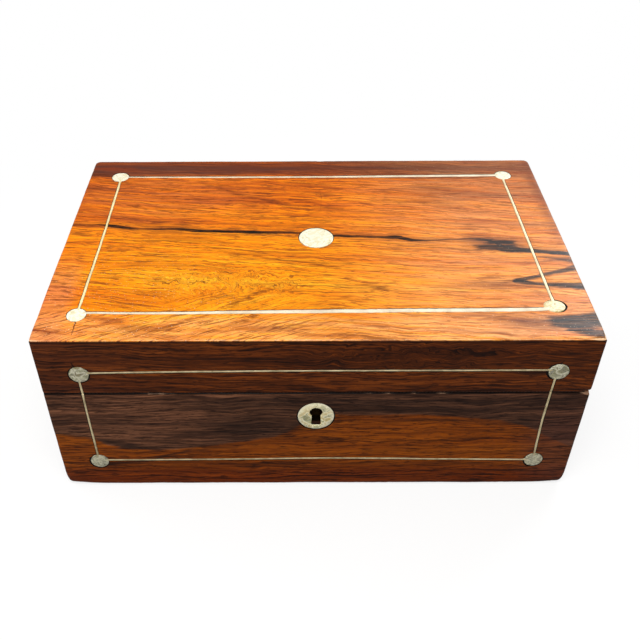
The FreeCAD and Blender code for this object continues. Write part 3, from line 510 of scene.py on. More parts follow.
class Paint:
    """A Principled material and short ways to build what feeds it. Its colours are 8-bit sRGB."""

    def __init__(self, name, **plain):
        self.material = bpy.data.materials.new(name)
        self.material.use_nodes = True
        self.tree = self.material.node_tree
        self.shader = self.tree.nodes["Principled BSDF"]
        for socket, value in plain.items():
            self.shader.inputs[socket.replace("_", " ")].default_value = value

    def add(self, kind, **settings):
        node = self.tree.nodes.new(kind)
        for key, value in settings.items():
            setattr(node, key, value)
        return node

    def feed(self, socket, value):
        if isinstance(value, Wire):
            self.tree.links.new(value.socket, socket)
        else:
            socket.default_value = value

    def math(self, operation, *values):
        node = self.add("ShaderNodeMath", operation=operation)
        for socket, value in zip(node.inputs, values):
            self.feed(socket, value)
        return Wire(self, node.outputs[0])

    def place(self):
        """The point on the piece, in millimetres, as x, y and z."""
        place = self.add("ShaderNodeTexCoord").outputs["Object"]
        parts = self.add("ShaderNodeSeparateXYZ")
        self.tree.links.new(place, parts.inputs[0])
        return [Wire(self, socket) * (1 / MM) for socket in parts.outputs]

    def noise(self, x, y, z=0.0, detail=2.0, rough=0.5, warp=0.0):
        """Noise from about 0 to 1 with a mean of one half."""
        spot = self.add("ShaderNodeCombineXYZ")
        for socket, value in zip(spot.inputs, (x, y, z)):
            self.feed(socket, value)
        node = self.add("ShaderNodeTexNoise")
        self.tree.links.new(spot.outputs[0], node.inputs["Vector"])
        for key, value in (("Scale", 1.0), ("Detail", detail), ("Roughness", rough), ("Distortion", warp)):
            node.inputs[key].default_value = value
        return Wire(self, node.outputs["Fac"])

    def swing(self, *where, **how):
        """The same noise with a mean of 0."""
        return self.noise(*where, **how) - 0.5

    def worn(self):
        """How far wear has moved the surface, as stored on the mesh in units of WORN_UNIT."""
        return Wire(self, self.add("ShaderNodeAttribute", attribute_name="worn").outputs["Fac"])

    def mix(self, share, first, second):
        node = self.add("ShaderNodeMix", data_type="RGBA")
        self.feed(node.inputs["Factor"], share)
        colours = [socket for socket in node.inputs if socket.type == "RGBA"]
        for socket, colour in zip(colours, (first, second)):
            self.feed(socket, colour if isinstance(colour, Wire) else rgb(*colour))
        return Wire(self, next(socket for socket in node.outputs if socket.type == "RGBA"))

    def over(self, colour, *coats):
        """A colour with coats laid over it in turn, each given as its share and its colour."""
        for share, coat in coats:
            colour = self.mix(share, colour, coat)
        return colour

    def ramp(self, share, *stops):
        """Colour from a run of (place, colour) stops."""
        node = self.add("ShaderNodeValToRGB")
        self.feed(node.inputs[0], share)
        elements = node.color_ramp.elements
        while len(elements) < len(stops):
            elements.new(0.5)
        for element, (spot, colour) in zip(elements, stops):
            element.position = spot
            element.color = rgb(*colour)
        return Wire(self, node.outputs["Color"])

    def course(self, along, span, height, stops):
        """A smooth curve through (along, value) stops; span is the range of along, and height of value."""
        node = self.add("ShaderNodeFloatCurve")
        self.feed(node.inputs["Value"], (along - span[0]) / (span[1] - span[0]))
        curve = node.mapping.curves[0]
        spots = [((a - span[0]) / (span[1] - span[0]), value / height) for a, value in stops]
        curve.points[0].location = spots[0]
        curve.points[1].location = spots[-1]
        for spot in spots[1:-1]:
            curve.points.new(*spot)
        node.mapping.update()
        return Wire(self, node.outputs[0]) * height

    def blot(self, u, v, centre, size, soft):
        """1 inside an ellipse, fading out over a share of its size."""
        return far((u - centre[0]) / size[0], (v - centre[1]) / size[1]).step(1 + soft, 1 - soft)

    def blots(self, u, v, spots):
        """The sum of several blots, each given as centre, size, softness and strength."""
        return sum(self.blot(u, v, centre, size, soft) * strength for centre, size, soft, strength in spots)

    def stroke(self, u, v, start, end, widths, soft):
        """1 along a straight stroke whose half width runs from the first to the second value."""
        run_u, run_v = end[0] - start[0], end[1] - start[1]
        square = run_u ** 2 + run_v ** 2
        along = (u - start[0]) * (run_u / square) + (v - start[1]) * (run_v / square)
        t = along.most(0.0).least(1.0)
        away = far(u - start[0] - t * run_u, v - start[1] - t * run_v) - t * (widths[1] - widths[0])
        return away.step(widths[0] + soft, widths[0] - soft)

    def strokes(self, u, v, runs):
        """The strongest of several strokes, each given as start, end, widths, soft and strength."""
        found = 0.0
        for start, end, widths, soft, strength in runs:
            found = (self.stroke(u, v, start, end, widths, soft) * strength).most(found)
        return found

    def finish(self, colour, roughness, height, depth_mm):
        """The material with these inputs, bumped by height, where 1 stands depth_mm proud."""
        bump = self.add("ShaderNodeBump")
        bump.inputs["Strength"].default_value = 1.0
        bump.inputs["Distance"].default_value = depth_mm * MM
        self.feed(bump.inputs["Height"], height)
        self.feed(self.shader.inputs["Base Color"], colour)
        self.feed(self.shader.inputs["Roughness"], roughness)
        self.tree.links.new(bump.outputs[0], self.shader.inputs["Normal"])
        return self.material


class Grain:
    """Rosewood grain that runs along u: a tone from 0, dark, to 1, light, with pores, veins and hairs."""

    def __init__(self, paint, u, v, seed, slope=0.0, sway=12.0, contrast=1.0):
        drift = paint.swing(u * 0.007, v * 0.016, seed, 1.0)
        ripple = paint.swing(u * 0.03, v * 0.06, seed + 3, 1.0)
        line = v + u * slope + drift * sway + ripple * 4.5
        bands = paint.swing(u * 0.004, line * 0.085, seed + 5, 2.0)
        streaks = paint.swing(u * 0.012, line * 0.42, seed + 7, 3.0, 0.62)
        fibre = paint.swing(u * 0.06, line * 1.1, seed + 9, 3.0, 0.65)
        silk = paint.swing(u * 0.11, line * 2.3, seed + 21, 2.0, 0.7)
        self.line = line
        self.tone = (bands * 0.8 + streaks * 0.85 + fibre * 0.7 + silk * 0.35) * contrast + 0.5
        self.crowd = paint.noise(u * 0.012, line * 0.16, seed + 13, 2.0)
        long = paint.noise(u * 0.055, line * 0.95, seed + 11, 2.0, 0.65) + (self.crowd - 0.5) * 0.3
        short = paint.noise(u * 0.14, line * 1.35, seed + 12, 2.0, 0.65) + (self.crowd - 0.5) * 0.2
        self.pores = long.step(0.555, 0.625).most(short.step(0.565, 0.63))
        contour = paint.swing(u * 0.007, line * 0.26, seed + 17, 2.0, 0.6)
        self.veins = abs(contour).step(0.04, 0.008) * self.crowd.step(0.3, 0.55)
        hair = paint.swing(u * 0.014, line * 0.62, seed + 23, 3.0, 0.68)
        self.hairs = abs(hair).step(0.075, 0.015) * self.crowd.step(0.62, 0.38)


LACQUER = {"Specular_IOR_Level": 0.14, "Coat_Weight": 0.15, "Coat_Roughness": 0.22}
WALL_LACQUER = {"Specular_IOR_Level": 0.08, "Coat_Weight": 0.08, "Coat_Roughness": 0.22}


def polish(paint, colour, pores, u, v, seed, rubbed_and_highlit=(186, 112, 62), wear=0.75):
    """Old French polish over wood: a paler colour where the arrises are worn round, which on the lid's top is
    also a painted highlight along its rounded edges; sunk pores and uneven gloss.
    """
    worn = paint.worn() + paint.swing(u * 0.5, v * 0.5, seed + 40) * 0.5
    haze = paint.noise(u * 0.03, v * 0.03, seed + 42, 3.0)
    ripple = paint.noise(u * 0.06, v * 0.11, seed + 44, 2.0)
    colour = paint.mix(worn.step(0.5, 1.2) * wear, colour, rubbed_and_highlit)
    return paint.finish(colour, haze * 0.16 + pores * 0.2 + 0.24, ripple * 0.6 - pores * 0.35, 0.05)


# The lid top's figure, as strokes: start, end, half widths, softness and strength
FEATHERS = [
    ((-66, 136), (-42, 123), (0.6, 1.4), 1.6, 0.9), ((-42, 123), (-13, 111), (1.2, 1.5), 1.6, 1.0),
    ((-13, 111), (48, 100), (1.3, 0.5), 1.8, 0.8), ((-16, 118), (4, 112), (0.3, 0.6), 0.9, 0.8),
    ((-94, 97.5), (-64, 91.5), (0.3, 0.9), 0.9, 0.9), ((-98, 78), (-28, 67.5), (0.15, 0.35), 0.6, 1.0),
    ((-47, 68), (14, 53), (0.3, 0.8), 0.8, 1.0), ((-128, 62), (-104, 57), (0.5, 0.3), 0.6, 0.8),
    ((-40, 23), (-23, 36), (1.0, 1.5), 1.4, 1.0), ((-52, 46), (-43, 32), (0.3, 0.7), 0.8, 0.8),
    ((-34, 31), (-24, 25), (0.3, 0.6), 0.8, 0.8), ((12, 46), (34, 35), (0.3, 0.9), 0.9, 1.0),
    ((22, 32), (37, 42), (0.3, 0.6), 0.8, 0.9), ((-2, 24), (20, 33), (0.3, 0.7), 1.0, 0.8),
    ((-80, 3), (-50, 17.5), (0.4, 1.1), 1.3, 1.0), ((-48, 7), (-27, 17), (0.3, 1.0), 1.2, 1.0),
    ((-34, 3), (-20, 11), (0.3, 0.8), 1.0, 0.9), ((-20, 7), (24, 15), (1.0, 0.4), 1.4, 0.8),
    ((-122, 6), (-96, 11), (0.3, 0.6), 0.9, 0.7), ((-55, 139), (108, 140.3), (0.3, 1.2), 0.9, 1.0),
    ((38, 74), (84, 66.5), (0.2, 0.8), 1.2, 0.7), ((84, 39), (97, 43), (0.4, 1.0), 1.4, 0.8),
    ((98, 55), (128, 62), (0.3, 0.8), 1.0, 0.8), ((86, 36), (112, 33), (0.3, 0.6), 1.0, 0.7),
    ((76, 15), (106, 11), (0.8, 1.6), 1.6, 0.8),
]
BLOTCH = [
    ((82, 70), (100, 70.5), (2.0, 2.8), 1.0, 1.0), ((84, 77.6), (91, 77), (1.2, 1.0), 0.8, 0.9),
    ((90, 75), (101, 74.5), (2.0, 1.6), 0.9, 1.0), ((94, 67.8), (128, 64.6), (1.1, 1.5), 0.5, 1.0),
    ((110, 62.5), (129, 58.5), (0.3, 2.4), 1.0, 0.85),
]
FORK = [
    ((95.5, 42.2), (109, 47), (1.6, 1.2), 0.6, 1.0), ((109, 47), (129, 53.4), (1.1, 2.3), 0.8, 0.95),
    ((95.5, 42.0), (111, 39.2), (1.7, 1.3), 0.6, 1.0), ((111, 39.2), (129, 37.6), (1.6, 3.2), 0.9, 1.0),
]
CORNER = [
    ((106, 13.2), (128, 13.2), (2.4, 5.6), 1.9, 1.0), ((106, 10.5), (122, 8), (1.5, 3.2), 1.6, 1.0),
    ((112, 6.5), (129, 2.6), (1.5, 3.3), 1.3, 1.0),
]


# Soft brown shadows round the dark figure: centre, size, softness and strength
SMUDGES = [
    ((88, 40), (18, 3.5), 0.8, 0.45), ((100, 11.5), (20, 4.2), 0.8, 0.55), ((112, 90), (10, 2.0), 0.8, 0.35),
    ((92, 73), (15, 6), 0.6, 0.6), ((64, 129), (16, 2.5), 0.8, 0.3),
]
# The black streak across the top: (u, v) along it, its half widths and how black it is
STREAK = [
    (-130, 92), (-105, 91), (-95, 88.5), (-72, 87.6), (-50, 85.6), (-8, 83.8), (12, 81.3), (36, 79.4),
    (43, 79.6), (50, 77.2), (70, 77.7), (86, 77.6), (98, 70), (110, 67.6), (130, 65),
]
STREAK_WIDTH = [
    (-130, 0.6), (-112, 0.7), (-106, 1.3), (-98, 1.1), (-88, 0.6), (-78, 0.7), (-66, 1.3), (-50, 1.1),
    (-30, 1.3), (-8, 0.8), (14, 1.0), (30, 0.7), (44, 1.5), (58, 0.6), (76, 0.6), (92, 1.4), (112, 1.1),
    (130, 1.1),
]
STREAK_INK = [
    (-130, 0.7), (-112, 0.75), (-105, 1), (-96, 0.95), (-88, 0.68), (-76, 0.75), (-64, 1), (-30, 1),
    (-12, 0.8), (14, 0.98), (30, 0.9), (44, 1), (58, 0.8), (76, 0.7), (90, 0.95), (130, 0.95),
]
SPAN = (-130, 130)


def top_veneer():
    """The lid's top: amber heartwood crossed by a black streak, with forked dark figure at the right."""
    paint = Paint("rosewood_top", **LACQUER)
    u, y, z = paint.place()
    v = y + HALF_D
    u = u + paint.swing(u * 0.05, v * 0.09, 2.0, 3.0) * 3.2
    v = v + paint.swing(u * 0.06, v * 0.12, 6.0, 3.0) * 2.6
    wild = paint.blot(u, v, (-42, 37), (30, 14), 0.7)
    curl_v = v + wild * paint.swing(u * 0.09, v * 0.12, 15.0, 3.0, warp=1.2) * 22
    grain = Grain(paint, u, curl_v, 1.0, slope=0.09)
    leaning = Grain(paint, u, v, 3.0, slope=-0.4, sway=5.0)
    slant = (v.step(23, 17) * u.step(45, -30)).most(paint.blot(u, v, (-40, 25), (34, 10), 0.6) * 0.8)
    tone, pores, hairs = (
        straight + (tilted - straight) * slant for straight, tilted in (
            (grain.tone, leaning.tone), (grain.pores, leaning.pores), (grain.hairs, leaning.hairs)))

    back, left, right, front = v.step(140, 145), u.step(-75, -127), u.step(-5, 75), v.step(21, 12)
    glow = v.step(125, 25) * 0.15 + paint.blot(u, v, (-25, 45), (80, 50), 0.9) * 0.16
    colour = paint.ramp(
        tone + glow - back * 0.22 - left * 0.1 - v.step(75, 130) * 0.07,
        (0.05, (98, 38, 8)), (0.23, (168, 72, 6)), (0.41, (222, 106, 4)),
        (0.6, (248, 135, 5)), (0.8, (255, 152, 10)), (1.0, (255, 176, 32)))
    # Patchy noise that mottles the painted sheen below and some of the wood's own colours
    mottle = paint.noise(u * 0.03, grain.line * 0.5, 45.0, 3.0).step(0.3, 0.65)
    band = paint.noise(u * 0.012, v * 0.3, 51.0, 3.0).step(0.3, 0.5)
    purple = paint.blots(u, v, [((-88, 150), (58, 6.5), 0.7, 1), ((10, 151), (90, 3.5), 0.9, 0.7)])
    edge = u.step(118, 126) * v.step(62, 92) * 0.6 + paint.blot(u, v, (88, 124), (46, 22), 0.9) * 0.24
    rust = paint.noise(u * 0.02, grain.line * 0.14, 55.0, 3.0, 0.6).step(0.5, 0.66)
    frayed_u = u + paint.swing(u * 0.02, v * 0.8, 85.0, 3.0, 0.65) * 17
    fray = paint.swing(u * 0.12, v * 0.9, 81.0, 4.0, 0.7) * 2.6
    edge_v = v + fray
    broken = paint.noise(u * 0.08, v * 0.9, 61.0, 3.0, 0.65).step(0.38, 0.56)
    feathers = paint.strokes(frayed_u, edge_v, FEATHERS)
    knots = paint.noise(u * 0.28, curl_v * 0.55, 71.0, 3.0, 0.65, 1.5).step(0.55, 0.63)
    colour = paint.over(
        colour,
        # Painted sheen: pale patches over the right third and along the front margin of the top
        (right * (mottle * 0.36 + 0.08), (250, 180, 112)),
        (front * (mottle * 0.32 + 0.12), (255, 188, 122)),
        (back * 0.45, (112, 58, 34)),
        ((purple * (band * 0.6 + 0.4)).least(0.85), (62, 38, 36)),
        (paint.blot(u, v, (-84, 118), (46, 24), 0.8) * mottle * 0.45, (186, 108, 66)),
        (edge * (mottle * 0.4 + 0.6), (112, 52, 26)),
        (u.step(-110, -118) * v.step(70, 40) * 0.45, (214, 134, 88)),
        (rust * (left * 0.5 + 0.25 + front * 0.3 + right * 0.12), (132, 54, 22)),
        (feathers * (broken * 0.7 + 0.12), (98, 40, 12)),
        (knots * wild * 0.62, (112, 54, 14)),
        (grain.veins * (1 - slant) * 0.4, (120, 54, 14)),
        (hairs * 0.45, (112, 46, 10)),
        (pores * (0.7 - right * 0.22), (90, 36, 10)))

    off = abs(v - paint.course(u, SPAN, 160, STREAK) + fray * 0.35)
    width = paint.course(u, SPAN, 4, STREAK_WIDTH)
    ragged = paint.noise(u * 0.07, v * 0.9, 89.0, 3.0, 0.7).step(0.34, 0.52)
    core = (off - width).step(0.4, -0.25) * paint.course(u, SPAN, 1, STREAK_INK) * (ragged * 0.2 + 0.8)
    halo = (off - width * 2.0).step(3.2, 0.0) * (broken * 0.6 + 0.4)
    torn = paint.noise(u * 0.035, v * 1.05, 93.0, 3.0, 0.6).step(0.36, 0.56)
    ink = core
    for along, runs, tear in ((frayed_u, BLOTCH, 0.35), (u, FORK, 0.25), (frayed_u, CORNER, 0.26)):
        ink = ink.most(paint.strokes(along, edge_v, runs) * (torn * tear + (1 - tear)))
    crack = paint.stroke(u, v, (4.3, 105), (4.6, 123), (0.02, 0.12), 0.2)
    nick = paint.stroke(u + fray * 0.3, v, (-108.6, 13.5), (-108.2, 3.5), (0.5, 0.1), 0.3)
    # Painted glints: pale specks over the lower left and over the painted sheen
    glint_specks = paint.noise(u * 1.1, v * 1.1, 95.0, 1.0).step(0.66, 0.76)
    glint_areas = paint.blot(u, v, (-90, 20), (50, 45), 0.9) + right * 0.4 + front * 0.4
    colour = paint.over(
        colour,
        ((halo * 0.36 + paint.blots(frayed_u, edge_v, SMUDGES)).least(0.7), (92, 46, 26)),
        (ink, (22, 12, 7)),
        (crack * 0.6, (70, 34, 16)),
        (nick * 0.8, (34, 16, 10)),
        ((glint_specks * glint_areas * 0.4).least(0.5), (255, 226, 190)),
        # Painted shade: a dark band down the edge of the top, below its rounded arris
        (z.step(LID_TOP - 0.45, LID_TOP - 0.7) * 0.9, (50, 16, 8)))
    # Painted highlight: the pale colour passed here lights the top's rounded edges as well as its worn chips
    return polish(paint, colour, pores, u, v, 1.0, (250, 206, 160), 0.8)


def front_veneer(name, seed, figure):
    """A veneer of the front or back: wavy wood, with figure(paint, u, v, seed) for its colours and pores."""
    paint = Paint(name, **WALL_LACQUER)
    u, _, z = paint.place()
    u = u + paint.swing(u * 0.05, z * 0.1, seed + 0.2, 3.0) * 4
    v = z + paint.swing(u * 0.05, z * 0.12, seed + 0.6, 3.0) * 2.2
    colour, pores = figure(paint, u, v, seed)
    return polish(paint, cuts_and_seam_shade(paint, colour, u, z), pores, u, v, seed, (176, 136, 108), 0.6)


# Dark overcuts where the pockets for the front discs were sawn
TICKS = [((-109.4, 83.0), (-110.2, 85.6)), ((110.2, 84.2), (111.2, 86.2)), ((-112.6, 18.6), (-114.2, 18.9))]


def cuts_and_seam_shade(paint, colour, u, z):
    """Dark saw overcuts, and painted shade along the joint between the lid and the base and in a band below
    the lid's top.
    """
    middle = (BASE_TOP + LID_FOOT) / 2
    # Painted shade: the joint between lid and base darkened, and a band below the lid's top
    seam = abs(z - middle).step(0.95, 0.5)
    under = (LID_TOP - z).step(2.3, 1.3) * 0.8
    patchy = paint.noise(u * 0.25, z * 0.4, 5.0, 2.0).step(0.25, 0.5)
    cuts = [(paint.stroke(u, z, start, end, (0.5, 0.2), 0.35) * 0.9, (10, 6, 5)) for start, end in TICKS]
    painted_shade = (seam * (patchy * 0.12 + 0.85)).most(under * (patchy * 0.5 + 0.5))
    return paint.over(colour, *cuts, (painted_shade, (12, 6, 5)))


def lid_front_figure(paint, u, v, seed):
    """Dark brown with black wavy lines, and curls to the right of the middle."""
    wild = paint.blot(u, v, (45, 88), (46, 9), 0.6)
    curl = v + wild * paint.swing(u * 0.045, v * 0.09, seed + 15, 3.0, warp=0.8) * 17
    grain = Grain(paint, u, curl, seed, slope=0.02, sway=9)
    colour = paint.ramp(
        grain.tone, (0.1, (40, 16, 5)), (0.35, (76, 34, 10)), (0.55, (108, 50, 14)),
        (0.75, (138, 68, 20)), (1.0, (172, 92, 30)))
    colour = paint.over(
        colour, (u.step(-60, -127) * 0.3, (84, 46, 34)), (grain.veins * 0.72, (22, 10, 8)),
        (grain.hairs * 0.55, (20, 9, 7)), (grain.pores * 0.72, (20, 9, 7)))
    return colour, grain.pores


# Dark edges of the cloud on the base's front: start, end, half widths, softness and strength
SHADOWS = [
    ((-128, 39.5), (-108, 34.5), (0.6, 1.0), 1.5, 0.6), ((-108, 34.5), (-78, 27.2), (1.0, 1.3), 1.6, 0.85),
    ((-106, 15.5), (-84, 19), (0.8, 1.2), 1.1, 0.95), ((-84, 19), (-62, 26.5), (1.0, 0.7), 1.1, 0.85),
    ((-62, 25.5), (-38, 30), (0.5, 0.9), 1.4, 0.6), ((-15, 36), (-8, 46), (0.6, 1.4), 2.0, 0.55),
    ((30, 50), (118, 44), (0.3, 1.3), 1.8, 0.6),
]


# Its darkest parts: centre, size, softness and strength
DEEPS = [((-34, 43), (22, 7), 0.8, 0.75), ((22, 59), (62, 5.5), 0.8, 0.62), ((-50, 58), (30, 3.0), 0.8, 0.3)]
# The cloud's lower edge, as (u, z)
SHORE = [
    (-130, 38.5), (-112, 36), (-100, 29.5), (-88, 27.5), (-72, 27.2), (-55, 29), (-42, 31.5), (-22, 35.5),
    (-12, 40.5), (-6, 45.5), (4, 51.5), (15, 51.6), (60, 50.5), (84, 47.8), (100, 43.5), (112, 36), (130, 26),
]


def base_front_figure(paint, u, v, seed):
    """Orange heartwood below a dark purple cloud that dips at the left and rises over the lock."""
    grain = Grain(paint, u, v, seed, slope=-0.015, sway=6, contrast=0.9)
    light = paint.ramp(
        grain.tone, (0.1, (92, 37, 6)), (0.4, (144, 68, 10)), (0.65, (172, 87, 14)), (1.0, (197, 109, 28)))
    dark = paint.ramp(
        grain.tone, (0.2, (36, 21, 17)), (0.42, (93, 59, 42)), (0.6, (131, 84, 59)), (0.9, (175, 117, 81)))
    red = paint.ramp(grain.tone, (0.2, (52, 13, 3)), (0.5, (112, 40, 6)), (0.9, (150, 64, 12)))
    frayed_u = u + paint.swing(u * 0.015, v * 0.9, seed + 33, 3.0, 0.65) * 24
    fray = paint.swing(u * 0.05, v * 0.9, seed + 31, 4.0, 0.65) * 4.0
    cloud = (v - paint.course(u, SPAN, 70, SHORE) + fray).step(-0.6, 1.0)
    deep = paint.blots(frayed_u, v + fray, DEEPS) + paint.strokes(frayed_u, v + fray, SHADOWS)
    foot = v.step(19, 8)
    colour = paint.over(
        paint.mix(cloud, light, dark),
        (deep.least(0.85), (36, 25, 21)),
        (foot * 0.85, red),
        (paint.blot(u, v, (122, 26), (18, 26), 0.6) * 0.6, (98, 56, 44)),
        (grain.veins * (foot * 0.4 + 0.5), (30, 13, 8)),
        (grain.hairs * (cloud * 0.3 + 0.42), (28, 14, 9)),
        (grain.pores * 0.72, (26, 12, 8)))
    return colour, grain.pores


def side_figure(paint, u, v, seed):
    """Plain straight rosewood: red-brown with dark lines, as on the back and ends."""
    grain = Grain(paint, u, v, seed, slope=0.03, sway=10)
    colour = paint.ramp(
        grain.tone, (0.1, (44, 20, 12)), (0.38, (92, 42, 20)), (0.6, (130, 64, 28)), (1.0, (168, 92, 44)))
    veins = paint.noise(u * 0.018, grain.line * 0.6, seed + 21, 3.0, 0.6).step(0.54, 0.64)
    return paint.over(colour, (veins * 0.7, (28, 16, 12)), (grain.pores * 0.55, (26, 13, 8))), grain.pores


def end_veneer(name, seed):
    """The same wood on an end of the box, whose grain runs from front to back."""
    paint = Paint(name, **WALL_LACQUER)
    _, u, z = paint.place()
    v = z + paint.swing(u * 0.05, z * 0.1, seed + 0.2, 3.0) * 4
    colour, pores = side_figure(paint, u, v, seed)
    return polish(paint, cuts_and_seam_shade(paint, colour, u, z), pores, u, v, seed)


def filler():
    """Dark shellac filler round the inlay and on the hidden back of the veneer."""
    paint = Paint("dark_filler", Specular_IOR_Level=0.2)
    x, y, z = paint.place()
    lump = paint.noise(x * 0.9, y * 0.9, z * 0.9, 3.0)
    colour = paint.ramp(lump, (0.3, (8, 5, 4)), (0.6, (18, 10, 7)), (0.85, (44, 26, 16)))
    return paint.finish(colour, lump * 0.3 + 0.45, lump, 0.12)


def plain_wood(name, seed, *stops):
    """Bare or oiled wood for the carcass and rims, with painted shade on the wood behind the keyhole."""
    paint = Paint(name, Specular_IOR_Level=0.25)
    x, y, z = paint.place()
    grain = Grain(paint, x, z + y * 0.55, seed, sway=8)
    # Painted shade: the wood behind the keyhole darkened, so the keyhole looks deep and dark
    keyhole_shade = paint.blot(x, z, (0, 50), (6, 8), 0.3) * y.step(-HALF_D + 14, -HALF_D + 10)
    colour = paint.over(
        paint.ramp(grain.tone, *stops), (grain.pores * 0.5, (40, 20, 12)), (keyhole_shade * 0.93, (16, 9, 7)))
    return paint.finish(colour, grain.crowd * 0.2 + 0.38, grain.tone * 0.5 - grain.pores * 0.5, 0.06)


def pearl(name, seed, tint, speck, rim=None):
    """Mother-of-pearl, streaked in layers like a shell.

    Tint is four colours of its layers, the third of them the palest, and the flecks' colour. Rim is a centre
    in (x, z) and the radius outside which it carries a pale painted highlight.
    """
    paint = Paint(name, Specular_IOR_Level=0.5, Coat_Weight=0.25, Coat_Roughness=0.1)
    x, y, z = paint.place()
    v = y + z
    sway = paint.noise(x * 0.12, v * 0.12, seed, 2.0)
    layers = paint.noise(x * 0.25 + sway * 3, v * 0.25 + sway * 2.5, seed + 3, 3.0, 0.55, 0.8)
    bands = paint.math("SINE", layers * 26 + v * 0.35) * 0.5 + 0.5
    fleck = paint.noise(x * 0.9, v * 0.9, seed + 8, 3.0, 0.7).step(0.53, 0.66)
    colour = paint.ramp(
        layers, (0.3, tint[0]), (0.42, tint[1]), (0.52, tint[2]), (0.62, tint[3]), (0.75, tint[1]))
    colour = paint.over(colour, (bands * 0.22, (252, 250, 240)), (fleck * speck, tint[4]))
    # Painted highlight: a pale ring round the edge of the keyhole plate
    if rim:
        centre, radius = rim
        edge = far(x - centre[0], z - centre[1]).step(radius, radius + 1.2)
        colour = paint.mix(edge * 0.5, colour, (246, 240, 214))
    return paint.finish(colour, layers * 0.2 + 0.18, bands * 0.5 + layers, 0.03)


def metal(name, light, dark, seed, rough, tarnish=0.45, shine=1.0):
    """Old metal: bright where it is rubbed, dull and spotted where it isn't."""
    paint = Paint(name, Metallic=shine)
    x, y, z = paint.place()
    cloud = paint.noise(x * 0.12, y * 0.12, z * 0.12 + seed, 4.0, 0.6)
    spots = paint.noise(x * 1.3, y * 1.3, z * 1.3 + seed, 2.0).step(0.62, 0.74)
    share = (cloud.step(0.35, 0.68) * tarnish + spots * tarnish).least(0.9)
    scratch = paint.noise(x * 0.35, y * 2.2, z * 2.2, 3.0, 0.7)
    colour = paint.mix(share, light, dark)
    return paint.finish(colour, share * 0.3 + rough + cloud * 0.08, scratch + cloud, 0.02)


def velvet(name, light, dark, seed):
    """Short velvet pile, brushed unevenly."""
    paint = Paint(name, Specular_IOR_Level=0.1, Sheen_Weight=0.55, Sheen_Roughness=0.4)
    tint = [0.6 * own + 0.4 * pale for own, pale in zip(rgb(*light), rgb(255, 220, 220))]
    paint.shader.inputs["Sheen Tint"].default_value = tint
    x, y, z = paint.place()
    brushed = paint.noise(x * 0.05, y * 0.05, z * 0.07 + seed, 3.0)
    pile = paint.noise(x * 3.2, y * 3.2, z * 3.2, 1.0)
    tone = (brushed - 0.5) * 1.2 + (pile - 0.5) * 0.6 + 0.5
    colour = paint.mix(tone.most(0.0).least(1.0), dark, light)
    return paint.finish(colour, 0.85 + (pile - 0.5) * 0.2, pile + brushed * 0.5, 0.12)


def satin(name, light, dark, seed):
    """Silk satin, faded in patches and stained, with its threads running across the box."""
    paint = Paint(name, Specular_IOR_Level=0.45, Sheen_Weight=0.3, Sheen_Roughness=0.3, Anisotropic=0.4)
    x, y, _ = paint.place()
    faded = paint.swing(x * 0.02, y * 0.03, seed, 3.0)
    thread = paint.noise(x * 0.4, y * 5.5, seed + 2, 2.0)
    warp = paint.noise(x * 5.5, y * 0.6, seed + 4, 1.0)
    tone = faded * 0.9 + (thread - 0.5) * 0.5 + (warp - 0.5) * 0.25 + 0.5
    patchy = paint.noise(x * 0.1, y * 0.1, seed + 6).step(0.4, 0.6)
    stain = paint.blot(x, y, (62, -20), (26, 17), 0.8) * patchy
    colour = paint.over(paint.mix(tone.most(0.0).least(1.0), dark, light), (stain * 0.3, (84, 30, 26)))
    return paint.finish(colour, 0.36 + (thread - 0.5) * 0.16, thread + warp * 0.6, 0.05)


def baize_cloth():
    """Napped green wool baize, unevenly faded."""
    paint = Paint("green_baize", Specular_IOR_Level=0.05, Sheen_Weight=0.3)
    x, y, z = paint.place()
    nap = paint.noise(x * 1.8, y * 1.8, z, 3.0, 0.7)
    tone = (nap - 0.5) * 0.9 + paint.swing(x * 0.04, y * 0.04, 5.0, 3.0) * 0.7 + 0.5
    colour = paint.ramp(tone, (0.1, (16, 38, 26)), (0.5, (34, 66, 44)), (0.95, (78, 102, 66)))
    return paint.finish(colour, 0.8 + nap * 0.15, nap, 0.3)


KEY_X, KEY_Z = 0.0, BASE_TOP - 12.9
KEY_HEAD_R, KEY_NECK, KEY_FOOT, KEY_DROP, KEY_CUT = 3.1, 4.2, 4.7, 8.7, 0.7
PLATE_CENTRE = (-0.1, 50.6)
PLATE_R = 8.6
# Radius outside which the keyhole plate carries a pale painted highlight
PLATE_HIGHLIGHT_R = 7.2
PLATE_GAP = 0.65
PLATE_SIDES = 72

SKIN_TOP = top_veneer()
SKIN_LID_FRONT = front_veneer("rosewood_lid_front", 11.0, lid_front_figure)
SKIN_BASE_FRONT = front_veneer("rosewood_base_front", 21.0, base_front_figure)
SKIN_BACK = front_veneer("rosewood_back", 31.0, side_figure)
SKIN_LEFT = end_veneer("rosewood_left", 41.0)
SKIN_RIGHT = end_veneer("rosewood_right", 51.0)
FILLER = filler()
RIM_WOOD = plain_wood("rosewood_rim_wood", 61.0, (0.1, (44, 20, 12)), (0.4, (96, 44, 22)),
                      (0.65, (132, 66, 30)), (1.0, (168, 96, 48)))
CARCASS_WOOD = plain_wood("mahogany_wood", 71.0, (0.1, (92, 44, 26)), (0.45, (138, 74, 44)),
                          (0.7, (164, 96, 60)), (1.0, (190, 122, 80)))
CREAM = [(204, 194, 146), (234, 226, 192), (241, 236, 216), (221, 212, 172), (178, 164, 108)]
YELLOWED = [(153, 132, 70), (195, 174, 107), (215, 198, 139), (181, 158, 92), (127, 102, 49)]
GREENISH = [(88, 84, 56), (152, 148, 112), (218, 214, 184), (138, 126, 88), (48, 42, 26)]
PALE_PLATE = [(146, 146, 104), (200, 194, 142), (255, 248, 210), (222, 198, 124), (128, 106, 52)]
PEARL_TOP = pearl("pearl_top", 5.0, CREAM, 0.3)
